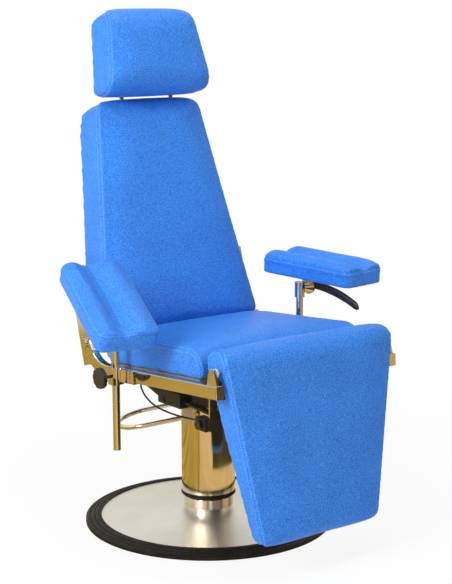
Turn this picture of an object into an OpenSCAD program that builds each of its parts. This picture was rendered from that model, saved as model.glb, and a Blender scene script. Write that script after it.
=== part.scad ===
// Reclining phlebotomy chair on a round base.
// Origin: on the floor, on the axis of the lift column.
// +Z up, the sitter looks along -Y, +X is the sitter's left.
// The rest position is the one shown: lowest height, back at 15 degrees, leg rest down.

/* [Base] */
// Outer radius of the round base
base_r = 310; // [290:1:340]
// Width of the ribbed black rim
rim_w = 39; // [30:1:60]
// Height of the rim at its inner edge
rim_h = 18; // [15:1:26]
// Thickness of the steel plate inside the base
plate_t = 9; // [6:1:11]
// Height of the domed cover at the column
cover_h = 38; // [32:1:48]

/* [Lift column] */
// Outer radius of the polished outer sleeve
sleeve_r = 67; // [60:1:69]
// Height of the top of the sleeve above the floor
sleeve_top = 298; // [285:1:310]
// Wall of the outer sleeve
sleeve_wall = 2.5; // [1.5:0.5:4]
// Outer radius of the inner guide tube
guide_r = 52; // [44:1:54]

/* [Seat frame] */
// Distance from the middle to the middle of a side rail
rail_x = 257; // [255:1:275]
// Height of the rectangular rail tube
rail_h = 30; // [27:1:33]
// Width of the rectangular rail tube
rail_w = 20; // [16:1:20]
// Wall of the rail tube
rail_wall = 2; // [1:0.5:3]
// Tilt of the seat and the rails, front end up
seat_tilt = 4.5; // [3:0.5:6]
// Height of the rail's middle line over the column axis
rail_z = 412.4; // [408:0.2:416]
// Length of the rail in front of the column axis
rail_front = 388; // [384:1:400]
// Middle radius of the bend at the rear
bend_r = 90; // [84:1:96]
// Angle of the bend at the rear
bend_turn = 80; // [76:1:84]
// Side of the square cross tubes
cross_side = 22; // [20:1:24]

/* [Seat] */
// Half width of the seat cushion
seat_half = 242; // [225:1:243]
// Height of the cushion's side wall
seat_wall_h = 64; // [55:1:68]
// Rise of the crown above the seam
seat_crown = 16; // [8:1:20]

/* [Backrest] */
// Angle of the back from the vertical
back_lean = 15.4; // [10:0.2:20]
// Length of the back cushion
back_len = 568; // [500:1:580]
// Half width of the back cushion at the bottom
back_half_low = 236; // [215:1:237]
// Half width of the back cushion at the top
back_half_top = 154; // [140:1:180]
// Depth of the cushion from the seam to the board
back_depth = 91; // [70:1:92]
// Rise of the crown in front of the seam
back_crown = 26; // [14:1:28]
// Thickness of the board behind the cushion
board_t = 12; // [9:1:15]

/* [Headrest] */
// Length of the head cushion
head_len = 212; // [180:1:230]
// Half width of the head cushion at the bottom
head_half_low = 155; // [130:1:160]
// Half width of the head cushion at the top
head_half_top = 126; // [110:1:140]
// Depth of the head cushion from the seam to its board
head_depth = 88; // [70:1:89]
// Rise of the crown in front of the seam
head_crown = 22; // [10:1:26]
// Radius of the two headrest posts
post_r = 6; // [5:0.5:7]

/* [Leg rest] */
// Length of the leg cushion below its pivot
leg_len = 402; // [340:1:408]
// Half width of the leg cushion at the bottom
leg_half_low = 173; // [150:1:200]
// Rise of the crown in front of the seam
leg_crown = 20; // [10:1:24]

/* [Arm rests] */
// Distance from the middle to an arm rest post
arm_x = 283; // [282:1:290]
// Radius of an arm rest post
arm_post_r = 9; // [7:0.5:9]
// Height of the left knuckle axis
knuckle_z_left = 560; // [550:1:600]
// Height of the right knuckle axis
knuckle_z_right = 568; // [558:1:600]
// Length of an arm pad
pad_len = 288; // [260:1:300]
// Width of an arm pad
pad_w = 134; // [110:1:140]
// Height of an arm pad's side wall
pad_wall_h = 41; // [30:1:45]
// Turn of the left pad, outward
pad_turn_left = 8; // [4:1:12]
// Turn of the right pad, outward
pad_turn_right = 12.6; // [8:0.2:16]
// Forward slope of the left pad
pad_slope_left = 2; // [0:1:6]
// Forward slope of the right pad
pad_slope_right = 25.8; // [22:0.2:28]

/* [Hidden] */
$fn = 64;

// Shared clearances and small sizes
// Gap between pieces that move past each other
gap = 0.3;
// Radial clearance of a running fit
fit = 0.05;
// Overrun of a cut
over = 1;

// Colours
vinyl_blue = [0.18, 0.42, 0.86];
chrome_grey = [0.78, 0.78, 0.8];
steel_grey = [0.6, 0.6, 0.6];
soft_black = [0.06, 0.06, 0.06];
plywood = [0.75, 0.62, 0.42];
plastic_white = [0.92, 0.92, 0.9];
lining_black = [0.08, 0.08, 0.07];

// Base sizes
rim_lip_h = 8;
rim_inner_r = base_r - rim_w;
rim_top_w = 6;
rim_steps = 3;
rim_groove_w = 2;
rim_groove_d = 1.5;
rim_seat_gap = 0.2;
cover_t = 2;
cover_edge_drop = 3.5;
cover_flat_share = 0.55;
// Number of straight steps in the cover's flare
cover_steps = 10;
cover_edge_z = rim_h - cover_edge_drop;
collar_r = 62;
collar_h = 26;
collar_wall = 8;
buffer_h = 12;
buffer_lip = 1.5;
buffer_r = sleeve_r + buffer_lip;
buffer_z = cover_h + collar_h;
sleeve_z = buffer_z + buffer_h;
guide_wall = 3;
guide_top_drop = 22;
guide_flange_r = 58;
guide_flange_t = 6;
cylinder_r = 26;
cylinder_top_drop = 40;
lift_rod_r = 12;
bush_h = 20;
bush_inset = 10;
bush_upper_drop = 40;

// Column head and swivel sizes
head_cap_t = 8;
spindle_r = 20;
spindle_h = 30;
hub_r = 34;
hub_h = 27;
hub_plate_r = 105;
hub_plate_t = 6;
hub_z = sleeve_top + head_cap_t + gap;
hub_plate_z = hub_z + hub_plate_t;
circlip_t = 3;
circlip_r = 25;

// Seat frame sizes
bend_start = 52.3;
rail_inner_x = rail_x - rail_w / 2;
rail_outer_x = rail_x + rail_w / 2;
rail_cap_t = 3;
cross_drop = 5;
front_cross_y = -215;
rear_cross_y = 25;
cheek_x = 62;
cheek_t = 5;
cheek_front_y = -235;
cheek_rear_y = 45;
cheek_window_share = [0.5, 0.8];
cheek_window_h = 26;
cheek_window_up = 22;
cross_seat_gap = 0.2;

// The rails' own plane: points in it are given as [along, above the rail's middle line]
function frame_y(p) = p[0] * cos(seat_tilt) + p[1] * sin(seat_tilt);
function frame_z(p) = rail_z - p[0] * sin(seat_tilt) + p[1] * cos(seat_tilt);
module frame_plane() {
    translate([0, 0, rail_z]) rotate([-seat_tilt, 0, 0]) children();
}

// Pivot of the back: a little before the end of each rail
back_pivot_inset = 14;
bend_end = [
    bend_start + bend_r * sin(bend_turn) - back_pivot_inset * cos(bend_turn),
    bend_r * (1 - cos(bend_turn)) - back_pivot_inset * sin(bend_turn)
];
back_y = frame_y(bend_end);
back_z = frame_z(bend_end);

// Pivot of the leg rest: on a lug above the front of each rail
leg_pivot_back = 17.6;
leg_pivot_up = 40.7;
leg_y = frame_y([-(rail_front - leg_pivot_back), leg_pivot_up]);
leg_z = frame_z([-(rail_front - leg_pivot_back), leg_pivot_up]);
leg_lean = 5.6;

module back_frame() {
    translate([0, back_y, back_z]) rotate([-back_lean, 0, 0]) children();
}
module leg_frame() {
    translate([0, leg_y, leg_z]) rotate([-leg_lean, 0, 0]) children();
}

// Pivot hardware
pivot_r = 6;
pivot_head_r = 11;
pivot_head_t = 5;
pivot_nut_t = 5;
lug_t = 6;
lug_inset = 5;
lug_x = rail_outer_x - lug_inset - lug_t / 2;
// The lug's foot in front of and behind the pivot, half its top, and its height over the pivot
lug_foot_front = 17;
lug_foot_rear = 20;
lug_top_half = 8.5;
lug_over = 10;
white_cap_r = 10;
white_cap_t = 7.3;
white_cap_round = 1.5;

// Seat sizes, in the rails' plane
seat_front = 302;
seat_rear = 76;
seat_board_inset = 6;
seat_board_t = 9;
seat_board_z = cross_side / 2 - cross_drop + cross_seat_gap;
seat_bottom = seat_board_z + seat_board_t + gap;
seat_front_round = 46;
seat_rear_round = 18;
seat_front_low_share = 0.3;

// Back sizes, in the back's own frame
back_seam = 50.3;
back_bottom = 12;
back_top = back_bottom + back_len;
back_rear = back_seam - back_depth;
back_corner = 26;
back_rear_round = 30;
bracket_t = 6;
bracket_x = rail_inner_x - gap - bracket_t;
bracket_half = 19;
bracket_shift = 8;
bracket_low = 32;
bracket_high = 190;
bracket_flange_w = 62;
bracket_flange_t = 4;
bracket_flange_low = 60;
bracket_tail = 54;

// Leg rest sizes, in its own frame
leg_seam = 31;
leg_top = 46;
leg_rear_pivot = 43;
leg_rear_low = 7;
leg_wedge = atan((leg_rear_pivot - leg_rear_low) / leg_len);
leg_top_round = 30;
leg_low_round = 18;
leg_corner = 22;
// Clearance between the leg cushion's sides and the rails and lugs
leg_side_gap = 1;
leg_half_pivot = rail_inner_x - leg_side_gap;
leg_half_top = lug_x - lug_t / 2 - leg_side_gap;
leg_arm_t = 6;
leg_arm_inset = 17;
leg_arm_x = leg_half_pivot - leg_arm_inset;
leg_arm_r = 16;
leg_arm_low = 62;

// Headrest sizes, in the back's own frame
head_seam = 127.3;
head_gap = 6;
head_bottom = back_top + head_gap;
head_top = head_bottom + head_len;
head_board_t = 7;
head_corner = 26;
head_front_round = 45;
head_rear_round = 22;
head_post_x = 75;
head_post_y = -45.8;
head_post_low = 150;
head_post_in = 140;
socket_wall = 4;
socket_low = 180;
socket_top_drop = 10;

// Gas spring and its bracket
back_spring_x = -160;
back_pin_y = -60;
back_pin_z = 346;
spring_bracket_half = 18;
spring_bracket_wall = 4;
spring_bracket_front = -129;
spring_bracket_rear = -39;
spring_bracket_low = 338;
spring_bracket_top = 372;
spring_pin_r = 4;
spring_pin_head = 3;
spring_r = 11;
spring_neck = 13;
spring_wall = 2;
spring_nose = 6;
spring_eye_r = 9;
spring_eye_t = 10;
spring_rod_r = 5;
back_spring_body = 115;
back_spring_rod_len = 175;
back_lug_reach = 60;
back_lug_angle = -50;
back_lug_y = back_y + back_lug_reach * cos(back_lug_angle);
back_lug_z = back_z + back_lug_reach * sin(back_lug_angle);
// Radius of the open holes in the levers: the pin wanders in them as the joints turn
back_open_r = 9;
open_wall = 4;
lever_t = 4;
lever_gap = 1;
washer_t = 2;
washer_lap = 3;
lever_tube_y = 12;
lever_tube_z = -18;
lever_tube_r = 10;
lever_tube_wall = 2;

// Height bar sizes
bar_turn = 143.66;
bar_r = 6;
bar_half = 76;
bar_z = 283;
bar_out = 49;
bar_reach = 182;
bar_tilt = 11.6;
bar_eye_r = 10;
bar_pin_r = 5;
bar_ear_t = 5;
bar_ear_gap = 1;

// Release parts
hanger_y = -218;
hanger_x = 150;
hanger_w = 20;
hanger_t = 5;
hanger_low = 300;
brace_r = 4;
brace_side = 5;
brace_spread = 12;
brace_top = 353;
brace_low = 341;
release_x = 157;
release_w = 25;
release_h = 30;
release_len = 40;
release_low = 300;
knob_small_r = 11;
knob_small_t = 9;
knob_small_shaft_r = 3;
button_y = -108;
button_half = 21;
button_h = 15;
button_base_t = 6;
button_out = 6;
button_lip = 3;
button_travel = 4;
cable_r = 2.2;
cable_sides = 8;
cable_rings_per_run = 6;

// Arm rest sizes, in the knuckle's own frame
arm_y = -17;
arm_post_bottom = 232;
clamp_wall = 3;
clamp_inner_wall = 3;
clamp_front = -72;
clamp_rear = 6;
clamp_edge = 2;
clamp_out = 15;
clamp_half = 11;
clamp_ring = 4;
clamp_top = 433;
clamp_low = 393;
knob_r = 25;
knob_t = 10;
knob_lobes = 10;
knob_lobe_r = 3.5;
knob_stud_r = 4;
knob_stud_out = 24;
knob_z = 414;
head_block_r = 13;
head_block_low = 24;
head_block_top = 15;
spigot_r = 7;
spigot_h = 26;
cone_start = 11;
cone_end = 31.5;
cone_small_r = 8;
cone_big_r = 21;
plate_disc_x = 32;
plate_disc_t = 6;
plate_disc_r = 20;
pad_plate_half = 28;
pad_plate_len = 150;
pad_plate_t = 4;
pad_floor = 29;
pad_behind = 102;
pad_out = 36.5;
pad_crown = 15;
pad_dip = 5;
pad_corner = 16;
pad_end_round = 30;
// Share of the crown that is left at the pad's ends
pad_end_share = 0.35;
pad_low_round = 4;
pad_side_draw = 2;
lever_hub_r = 12;
// Shares of the lever's width: its droop, its tip, its root below the axis, and its taper
lever_drop_share = 1.25;
lever_tip_share = 0.36;
lever_root_share = 0.55;
lever_taper_share = 0.1;
lever_lead = 40;
lever_steps = 8;
lever_hub_t = 18;
lever_inset = 2;
lever_len = 158;
lever_wide = 27;
lever_hub_x = plate_disc_x + plate_disc_t + gap;
bolt_r = 5;

// Roundings and drawn-in sides of the cushions
seat_edge_round = 6;
seat_side_draw = 3;
rear_edge_round = 12;
leg_edge_round = 20;
side_draw = 4;
// Share of a cushion's rear rounding
fillet_share = 0.3;
// Number of points on one half of the crown
crown_steps = 6;
// Number of rings along a cushion
cushion_rings = 16;

// One half of a cushion's section, from the rear to the front: w half width, qr rear, qs seam, c crown
function half_ring(w, qr, qs, c, rr, draw) = concat(
    [[w - rr, qr], [w - rr * fillet_share, qr + rr * fillet_share], [w, qr + rr]],
    [[w - draw, (qr + qs) / 2], [w, qs]],
    [for (k = [1:crown_steps - 1]) let (f = 90 * k / crown_steps) [w * sqrt(cos(f)), qs + c * sin(f)]]
);
function ring(w, qr, qs, c, rr, draw) = let (h = half_ring(w, qr, qs, c, rr, draw)) concat(
    [[0, qr]], h, [[0, qs + c]], [for (i = [len(h) - 1:-1:0]) [-h[i][0], h[i][1]]]
);
// Quarter-round fall towards an end: 0 at the end, 1 from r on
function fall(d, r) = d >= r ? 1 : sqrt(max(0, 1 - pow(1 - d / r, 2)));
// Positions along a cushion, closer together near its two ends
function ring_place(i, n, low, high) = (low + high) / 2 - (high - low) / 2 * cos(180 * i / (n - 1));

// Closed solid through rings that all have the same number of points, laid along +Y, thickness along +Z
module loft(places, rings) {
    n = len(rings[0]);
    m = len(rings);
    points = concat(
        [for (i = [0:m - 1], p = rings[i]) [p[0], places[i], p[1]]],
        [for (i = [0, m - 1]) [0, places[i], (rings[i][0][1] + rings[i][n / 2][1]) / 2]]
    );
    sides = [
        for (i = [0:m - 2], j = [0:n - 1])
        let (a = i * n + j, b = i * n + (j + 1) % n)
        each [[a, b + n, b], [a, a + n, b + n]]
    ];
    caps = [
        for (j = [0:n - 1])
        let (k = (j + 1) % n, last = (m - 1) * n)
        each [[m * n, j, k], [m * n + 1, last + k, last + j]]
    ];
    polyhedron(points = points, faces = concat(sides, caps));
}

module ring_solid(r_out, r_in, h) {
    difference() {
        cylinder(r = r_out, h = h);
        translate([0, 0, -over]) cylinder(r = r_in, h = h + 2 * over);
    }
}

// Cylinder along X from x0 to x1
module x_rod(x0, x1, r) {
    translate([x0, 0, 0]) rotate([0, 90, 0]) cylinder(r = r, h = x1 - x0);
}

// Round bar from point a to point b
module rod_between(a, b, r) {
    d = b - a;
    translate(a) rotate([0, acos(d[2] / norm(d)), atan2(d[1], d[0])]) cylinder(r = r, h = norm(d));
}

// A plate lying in the Y-Z plane, from x0 to x0 + t; its outline is given as [y, z] points
module side_plate(x0, t, outline) {
    translate([x0, 0, 0]) rotate([90, 0, 90]) linear_extrude(height = t) polygon(outline);
}

module base_plate() {
    color(steel_grey) difference() {
        cylinder(r = rim_inner_r - rim_seat_gap, h = plate_t);
        translate([0, 0, plate_t - guide_flange_t])
            cylinder(r = guide_flange_r + fit, h = guide_flange_t + over);
    }
}

module base_rim() {
    step_w = (rim_w - rim_top_w) / rim_steps;
    step_h = (rim_h - rim_lip_h) / rim_steps;
    color(soft_black) rotate_extrude($fn = 160) difference() {
        polygon(concat(
            [[rim_inner_r, 0], [base_r, 0], [base_r, rim_lip_h]],
            [for (i = [1:rim_steps], k = [0, 1])
                [base_r - step_w * (i - 1 + k * (1 - fillet_share)), rim_lip_h + step_h * (i - 1 + k)]],
            [[rim_inner_r, rim_h]]
        ));
        for (i = [1:rim_steps])
            translate([base_r - step_w * i, rim_lip_h + step_h * i]) circle(r = rim_groove_d, $fn = 16);
    }
}

// Height of the cover's top at radius r: nearly flat outside, flaring up to the column
function cover_z(r) = let (u = (rim_inner_r - rim_seat_gap - r) / (rim_inner_r - rim_seat_gap - collar_r))
    cover_edge_z + (cover_h - cover_edge_z) * (cover_flat_share * u + (1 - cover_flat_share) * pow(u, 3));

module base_cover() {
    out = rim_inner_r - rim_seat_gap;
    steps = cover_steps;
    places = [for (i = [0:steps]) out + (collar_r - out) * i / steps];
    color(steel_grey) rotate_extrude($fn = 160) polygon(concat(
        [[out, plate_t]],
        [for (r = places) [r, cover_z(r)]],
        [[guide_r + gap, cover_h], [guide_r + gap, cover_h - cover_t]],
        [for (i = [steps:-1:1]) [places[i], cover_z(places[i]) - cover_t]],
        [[out - cover_t, cover_z(out - cover_t) - cover_t], [out - cover_t, plate_t]]
    ));
}

module column_collar() {
    color(chrome_grey) translate([0, 0, cover_h]) rotate_extrude() polygon([
        [guide_r + gap, 0],
        [collar_r, 0],
        [collar_r, collar_h - collar_wall * fillet_share],
        [collar_r - collar_wall * fillet_share, collar_h],
        [guide_r + gap, collar_h]
    ]);
}

module buffer_ring() {
    bulge = buffer_h * fillet_share;
    color(soft_black) translate([0, 0, buffer_z]) rotate_extrude() polygon([
        [guide_r + gap, 0],
        [buffer_r - bulge, 0],
        [buffer_r, bulge],
        [buffer_r, buffer_h - bulge],
        [buffer_r - bulge, buffer_h],
        [guide_r + gap, buffer_h]
    ]);
}

module inner_column() {
    foot = plate_t - guide_flange_t;
    color(steel_grey) translate([0, 0, foot]) {
        ring_solid(guide_r, guide_r - guide_wall, sleeve_top - guide_top_drop - foot);
        ring_solid(guide_flange_r, guide_r - guide_wall, guide_flange_t);
    }
}

module lift_cylinder() {
    foot = plate_t - guide_flange_t;
    tall = sleeve_top - cylinder_top_drop - foot;
    color(soft_black) translate([0, 0, foot]) difference() {
        union() {
            cylinder(r = cylinder_r, h = tall);
            cylinder(r = guide_r - guide_wall, h = guide_flange_t);
        }
        translate([0, 0, guide_flange_t]) cylinder(r = lift_rod_r + fit, h = tall);
    }
}

module column_sleeve() {
    color(chrome_grey) translate([0, 0, sleeve_z])
        ring_solid(sleeve_r, sleeve_r - sleeve_wall, sleeve_top - sleeve_z);
}

module column_head() {
    color(soft_black) translate([0, 0, sleeve_top]) {
        cylinder(r = sleeve_r, h = head_cap_t);
        cylinder(r = spindle_r, h = head_cap_t + spindle_h);
        translate([0, 0, head_cap_t + gap + hub_h + gap]) cylinder(r = circlip_r, h = circlip_t);
    }
}

module lift_rod() {
    color(chrome_grey) translate([0, 0, buffer_z])
        cylinder(r = lift_rod_r, h = sleeve_top - buffer_z);
}

module guide_bushes() {
    color(plastic_white)
        for (z = [sleeve_z + bush_inset, sleeve_top - bush_upper_drop - bush_h])
            translate([0, 0, z]) ring_solid(sleeve_r - sleeve_wall, guide_r + fit, bush_h);
}

module swivel_hub() {
    ear_x = bar_half + bar_r + bar_ear_gap;
    ear_half = bar_eye_r + 2 * bar_ear_gap;
    color(soft_black) {
        difference() {
            union() {
                translate([0, 0, hub_z]) cylinder(r = hub_plate_r, h = hub_plate_t);
                translate([0, 0, hub_z]) cylinder(r = hub_r, h = hub_h);
            }
            translate([0, 0, hub_z - over]) cylinder(r = spindle_r + fit, h = hub_h + 2 * over);
        }
        rotate([0, 0, bar_turn]) for (s = [-1, 1]) {
            translate([bar_out - ear_half, s * (ear_x + bar_ear_t / 2) - bar_ear_t / 2, bar_z - ear_half])
                cube([2 * ear_half, bar_ear_t, hub_z - bar_z + ear_half]);
            translate([bar_out, s * (ear_x + bar_ear_t / 2), bar_z]) rotate([s * 90, 0, 0])
                cylinder(r = bar_pin_r, h = bar_ear_t / 2 + bar_ear_gap + 2 * bar_r);
        }
    }
}

module height_bar() {
    straight = bar_reach - bar_half;
    color(chrome_grey) rotate([0, 0, bar_turn]) translate([bar_out, 0, bar_z]) rotate([0, bar_tilt, 0])
        difference() {
            union() {
                for (s = [-1, 1]) translate([0, s * bar_half, 0]) {
                    x_rod(0, straight, bar_r);
                    rotate([90, 0, 0]) cylinder(r = bar_eye_r, h = 2 * bar_r, center = true);
                }
                translate([straight, 0, 0]) rotate([0, 0, -90])
                    rotate_extrude(angle = 180) translate([bar_half, 0]) circle(r = bar_r, $fn = 32);
            }
            for (s = [-1, 1]) translate([0, s * bar_half, 0]) rotate([90, 0, 0])
                cylinder(r = bar_pin_r + fit, h = 4 * bar_r, center = true);
        }
}

// Outline of a rail seen from the side, half its height given; the rear end bends up
function rail_outline(half, extra) = concat(
    [[-(rail_front + extra), -half]],
    [for (i = [0:12]) let (a = bend_turn * i / 12)
        [bend_start + (bend_r + half) * sin(a), bend_r - (bend_r + half) * cos(a)]],
    extra > 0 ? [[
        bend_start + (bend_r + half) * sin(bend_turn) + extra * cos(bend_turn),
        bend_r - (bend_r + half) * cos(bend_turn) + extra * sin(bend_turn)
    ], [
        bend_start + (bend_r - half) * sin(bend_turn) + extra * cos(bend_turn),
        bend_r - (bend_r - half) * cos(bend_turn) + extra * sin(bend_turn)
    ]] : [],
    [for (i = [12:-1:0]) let (a = bend_turn * i / 12)
        [bend_start + (bend_r - half) * sin(a), bend_r - (bend_r - half) * cos(a)]],
    [[-(rail_front + extra), half]]
);

module rail(side) {
    color(chrome_grey) difference() {
        frame_plane() difference() {
            side_plate(side * rail_x - rail_w / 2, rail_w, rail_outline(rail_h / 2, 0));
            side_plate(side * rail_x - rail_w / 2 + rail_wall, rail_w - 2 * rail_wall,
                rail_outline(rail_h / 2 - rail_wall, over));
        }
        translate([0, back_y, back_z])
            x_rod(side * rail_x - rail_w, side * rail_x + rail_w, pivot_r + fit);
    }
}
module rail_left() { rail(1); }
module rail_right() { rail(-1); }

module rail_caps() {
    color(soft_black) frame_plane() for (s = [-1, 1]) {
        translate([s * rail_x - rail_w / 2, -rail_front - rail_cap_t, -rail_h / 2])
            cube([rail_w, rail_cap_t, rail_h]);
        translate([s * rail_x - rail_w / 2, bend_start, bend_r]) rotate([bend_turn, 0, 0])
            translate([0, 0, -bend_r - rail_h / 2]) cube([rail_w, rail_cap_t, rail_h]);
    }
}

module cross_tubes() {
    color(soft_black) frame_plane() for (y = [front_cross_y, rear_cross_y])
        translate([-rail_inner_x, y - cross_side / 2, -cross_side / 2 - cross_drop]) difference() {
            cube([2 * rail_inner_x, cross_side, cross_side]);
            translate([-over, rail_wall, rail_wall])
                cube([2 * (rail_inner_x + over), cross_side - 2 * rail_wall, cross_side - 2 * rail_wall]);
        }
}

module frame_cheeks() {
    low = hub_plate_z;
    under = -cross_side / 2 - cross_drop - cross_seat_gap;
    front = [cheek_front_y, under];
    rear = [cheek_rear_y, under];
    span = cheek_rear_y - cheek_front_y;
    w = cheek_window_share;
    color(soft_black) for (s = [-1, 1]) difference() {
        side_plate(s * cheek_x - cheek_t / 2, cheek_t, [
            [-hub_plate_r + over, low],
            [hub_plate_r * cos(45), low],
            [frame_y(rear), frame_z(rear)],
            [frame_y(front), frame_z(front)],
            [cheek_front_y, frame_z(front) - cheek_window_up]
        ]);
        side_plate(s * cheek_x - cheek_t, 2 * cheek_t, [
            [cheek_front_y + span * w[0], low + cheek_window_up],
            [cheek_front_y + span * w[1], low + cheek_window_up],
            [cheek_front_y + span * w[1], low + cheek_window_up + cheek_window_h],
            [cheek_front_y + span * w[0], low + cheek_window_up + cheek_window_h]
        ]);
    }
}

module seat_board() {
    half = seat_half - seat_board_inset;
    color(plywood) frame_plane()
        translate([-half, -seat_front + seat_front_round * fillet_share, seat_board_z])
            cube([2 * half, seat_front + seat_rear - seat_front_round * fillet_share, seat_board_t]);
}

module seat_cushion() {
    places = [for (i = [0:cushion_rings - 1]) ring_place(i, cushion_rings, -seat_front, seat_rear)];
    rings = [for (a = places) let (
        df = a + seat_front,
        dr = seat_rear - a,
        g = fall(df, seat_front_round) * fall(dr, seat_rear_round),
        low = seat_front_low_share,
        wall = seat_wall_h * (low + (1 - low) * g)
    ) ring(seat_half, seat_bottom, seat_bottom + wall, seat_crown * g, seat_edge_round, seat_side_draw)];
    color(vinyl_blue) frame_plane() loft(places, rings);
}

module leg_lugs() {
    pivot_a = -(rail_front - leg_pivot_back);
    lug_top = leg_pivot_up + lug_over;
    color(chrome_grey) for (s = [-1, 1]) difference() {
        frame_plane() side_plate(s * lug_x - lug_t / 2, lug_t, [
            [pivot_a - lug_foot_front, rail_h / 2],
            [pivot_a + lug_foot_rear, rail_h / 2],
            [pivot_a + lug_top_half, lug_top],
            [pivot_a - lug_top_half, lug_top]
        ]);
        translate([0, leg_y, leg_z]) x_rod(s * lug_x - lug_t, s * lug_x + lug_t, pivot_r + fit);
    }
}

// Bolt along X from its head at the outer end to its inner end
module pivot_bolt(side, head_x, inner_x) {
    mirror([side > 0 ? 0 : 1, 0, 0]) {
        x_rod(inner_x, head_x + pivot_head_t, pivot_r);
        x_rod(head_x, head_x + pivot_head_t, pivot_head_r);
        x_rod(inner_x, inner_x + pivot_nut_t, pivot_head_r - 2 * gap);
    }
}

module pivot_bolts() {
    color(chrome_grey) for (s = [-1, 1]) {
        translate([0, back_y, back_z])
            pivot_bolt(s, rail_outer_x, bracket_x - gap - pivot_nut_t);
        // The leg rest's pins end flush with the lugs
        translate([0, leg_y, leg_z]) mirror([s > 0 ? 0 : 1, 0, 0])
            x_rod(leg_arm_x, lug_x + lug_t / 2, pivot_r);
    }
}

// White spacers on the leg rest's pins, between the lugs and the cushion
module pivot_caps() {
    outer = lug_x - lug_t / 2 - gap;
    color(plastic_white) translate([0, leg_y, leg_z]) for (s = [-1, 1]) mirror([s > 0 ? 0 : 1, 0, 0])
        difference() {
            union() {
                x_rod(outer - white_cap_t, outer - white_cap_round, white_cap_r);
                x_rod(outer - white_cap_t, outer, white_cap_r - white_cap_round);
            }
            x_rod(outer - white_cap_t - over, outer + over, pivot_r + fit);
        }
}

module spring_bracket() {
    mid = back_spring_x;
    half = spring_bracket_half;
    len_y = spring_bracket_rear - spring_bracket_front;
    reach = cheek_x + cheek_t / 2;
    color(soft_black) {
        translate([mid - half, spring_bracket_front, spring_bracket_top - spring_bracket_wall])
            cube([-reach - (mid - half), len_y, spring_bracket_wall]);
        translate([mid - half, spring_bracket_front, spring_bracket_low])
            cube([2 * half, spring_bracket_wall, spring_bracket_top - spring_bracket_low]);
        for (x = [mid - half, mid + half - spring_bracket_wall])
            translate([x, spring_bracket_front, spring_bracket_low])
                cube([spring_bracket_wall, len_y, spring_bracket_top - spring_bracket_low]);
        translate([0, back_pin_y, back_pin_z]) {
            x_rod(mid - half - washer_t, mid + half, spring_pin_r);
            x_rod(mid - half - washer_t, mid - half, spring_pin_r + spring_pin_head);
        }
    }
}

// A gas spring's own frame: origin at its bracket pin, +X towards the far pin, Y across
module spring_frame(x, from_y, from_z, to_y, to_z) {
    translate([x, from_y, from_z]) rotate([atan2(to_z - from_z, to_y - from_y), 0, 0])
        rotate([0, 0, 90]) children();
}

module spring_cylinder(body) {
    color(soft_black) difference() {
        union() {
            rotate([90, 0, 0]) cylinder(r = spring_eye_r, h = spring_eye_t, center = true);
            x_rod(0, spring_neck + spring_wall, spring_eye_t / 2);
            x_rod(spring_neck, body, spring_r);
        }
        rotate([90, 0, 0]) cylinder(r = spring_pin_r + fit, h = 2 * spring_r, center = true);
        x_rod(spring_neck + spring_wall, body - spring_nose, spring_r - spring_wall);
        x_rod(body / 2, body + over, spring_rod_r + fit);
    }
}

module spring_rod(reach, rod_len, open_r) {
    half = spring_eye_t / 2 + lever_gap + lever_t;
    color(chrome_grey) translate([reach, 0, 0]) {
        x_rod(-rod_len, 0, spring_rod_r);
        rotate([90, 0, 0]) cylinder(r = spring_eye_r, h = spring_eye_t, center = true);
        rotate([90, 0, 0]) cylinder(r = spring_pin_r, h = 2 * (half + lever_gap), center = true);
        for (s = [-1, 1]) translate([0, s * (half + lever_gap / 2 + washer_t / 2), 0]) rotate([90, 0, 0])
            cylinder(r = open_r + washer_lap, h = washer_t, center = true);
    }
}

module back_spring() {
    spring_frame(back_spring_x, back_pin_y, back_pin_z, back_lug_y, back_lug_z) children();
}
back_spring_reach = norm([back_lug_y - back_pin_y, back_lug_z - back_pin_z]);
module back_spring_cylinder() { back_spring() spring_cylinder(back_spring_body); }
module back_spring_rod() { back_spring() spring_rod(back_spring_reach, back_spring_rod_len, back_open_r); }

module front_hanger() {
    top = frame_z([hanger_y, -cross_side / 2 - cross_drop - cross_seat_gap]);
    color(chrome_grey) translate([-hanger_x - hanger_w / 2, hanger_y - hanger_t, hanger_low])
        cube([hanger_w, hanger_t, top - hanger_low]);
    color(soft_black) for (s = [-1, 1]) rod_between(
        [-hanger_x + s * brace_side, hanger_y - hanger_t / 2, brace_low],
        [back_spring_x + s * brace_spread / 2,
            spring_bracket_front - gap - brace_r * fillet_share, brace_top],
        brace_r);
}

module release_head() {
    color(soft_black) difference() {
        translate([-release_x - release_w / 2, hanger_y, release_low])
            cube([release_w, release_len, release_h - gap]);
        translate([0, hanger_y + release_len / 2, release_low + release_h / 2])
            x_rod(-release_x - release_w, -release_x, knob_small_shaft_r + fit);
    }
}

module tension_knob() {
    face = -release_x - release_w / 2;
    color(soft_black) translate([0, hanger_y + release_len / 2, release_low + release_h / 2]) {
        x_rod(face - gap - knob_small_t, face - gap, knob_small_r);
        x_rod(face - gap, face + knob_small_t, knob_small_shaft_r);
    }
}

// Half-moon, flat side up, lying against the rail's outer face
module half_moon(half, h, t) {
    rotate([90, 0, -90]) linear_extrude(height = t) polygon(concat(
        [for (i = [0:16]) [half * cos(180 + 180 * i / 16), h * sin(180 + 180 * i / 16)]]
    ));
}

module release_housing() {
    color(soft_black) frame_plane()
        translate([-rail_outer_x, button_y, rail_h / 2 - button_lip]) difference() {
        half_moon(button_half, button_h, button_base_t);
        translate([over, 0, -button_lip / 2])
            half_moon(button_half - button_lip, button_h - button_lip, button_base_t + 2 * over);
    }
}

module release_button() {
    color(soft_black) frame_plane() translate([
        -rail_outer_x - button_travel - gap, button_y, rail_h / 2 - button_lip - button_lip / 2 - gap
    ]) half_moon(button_half - button_lip - gap, button_h - button_lip - 2 * gap, button_out);
}

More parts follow.
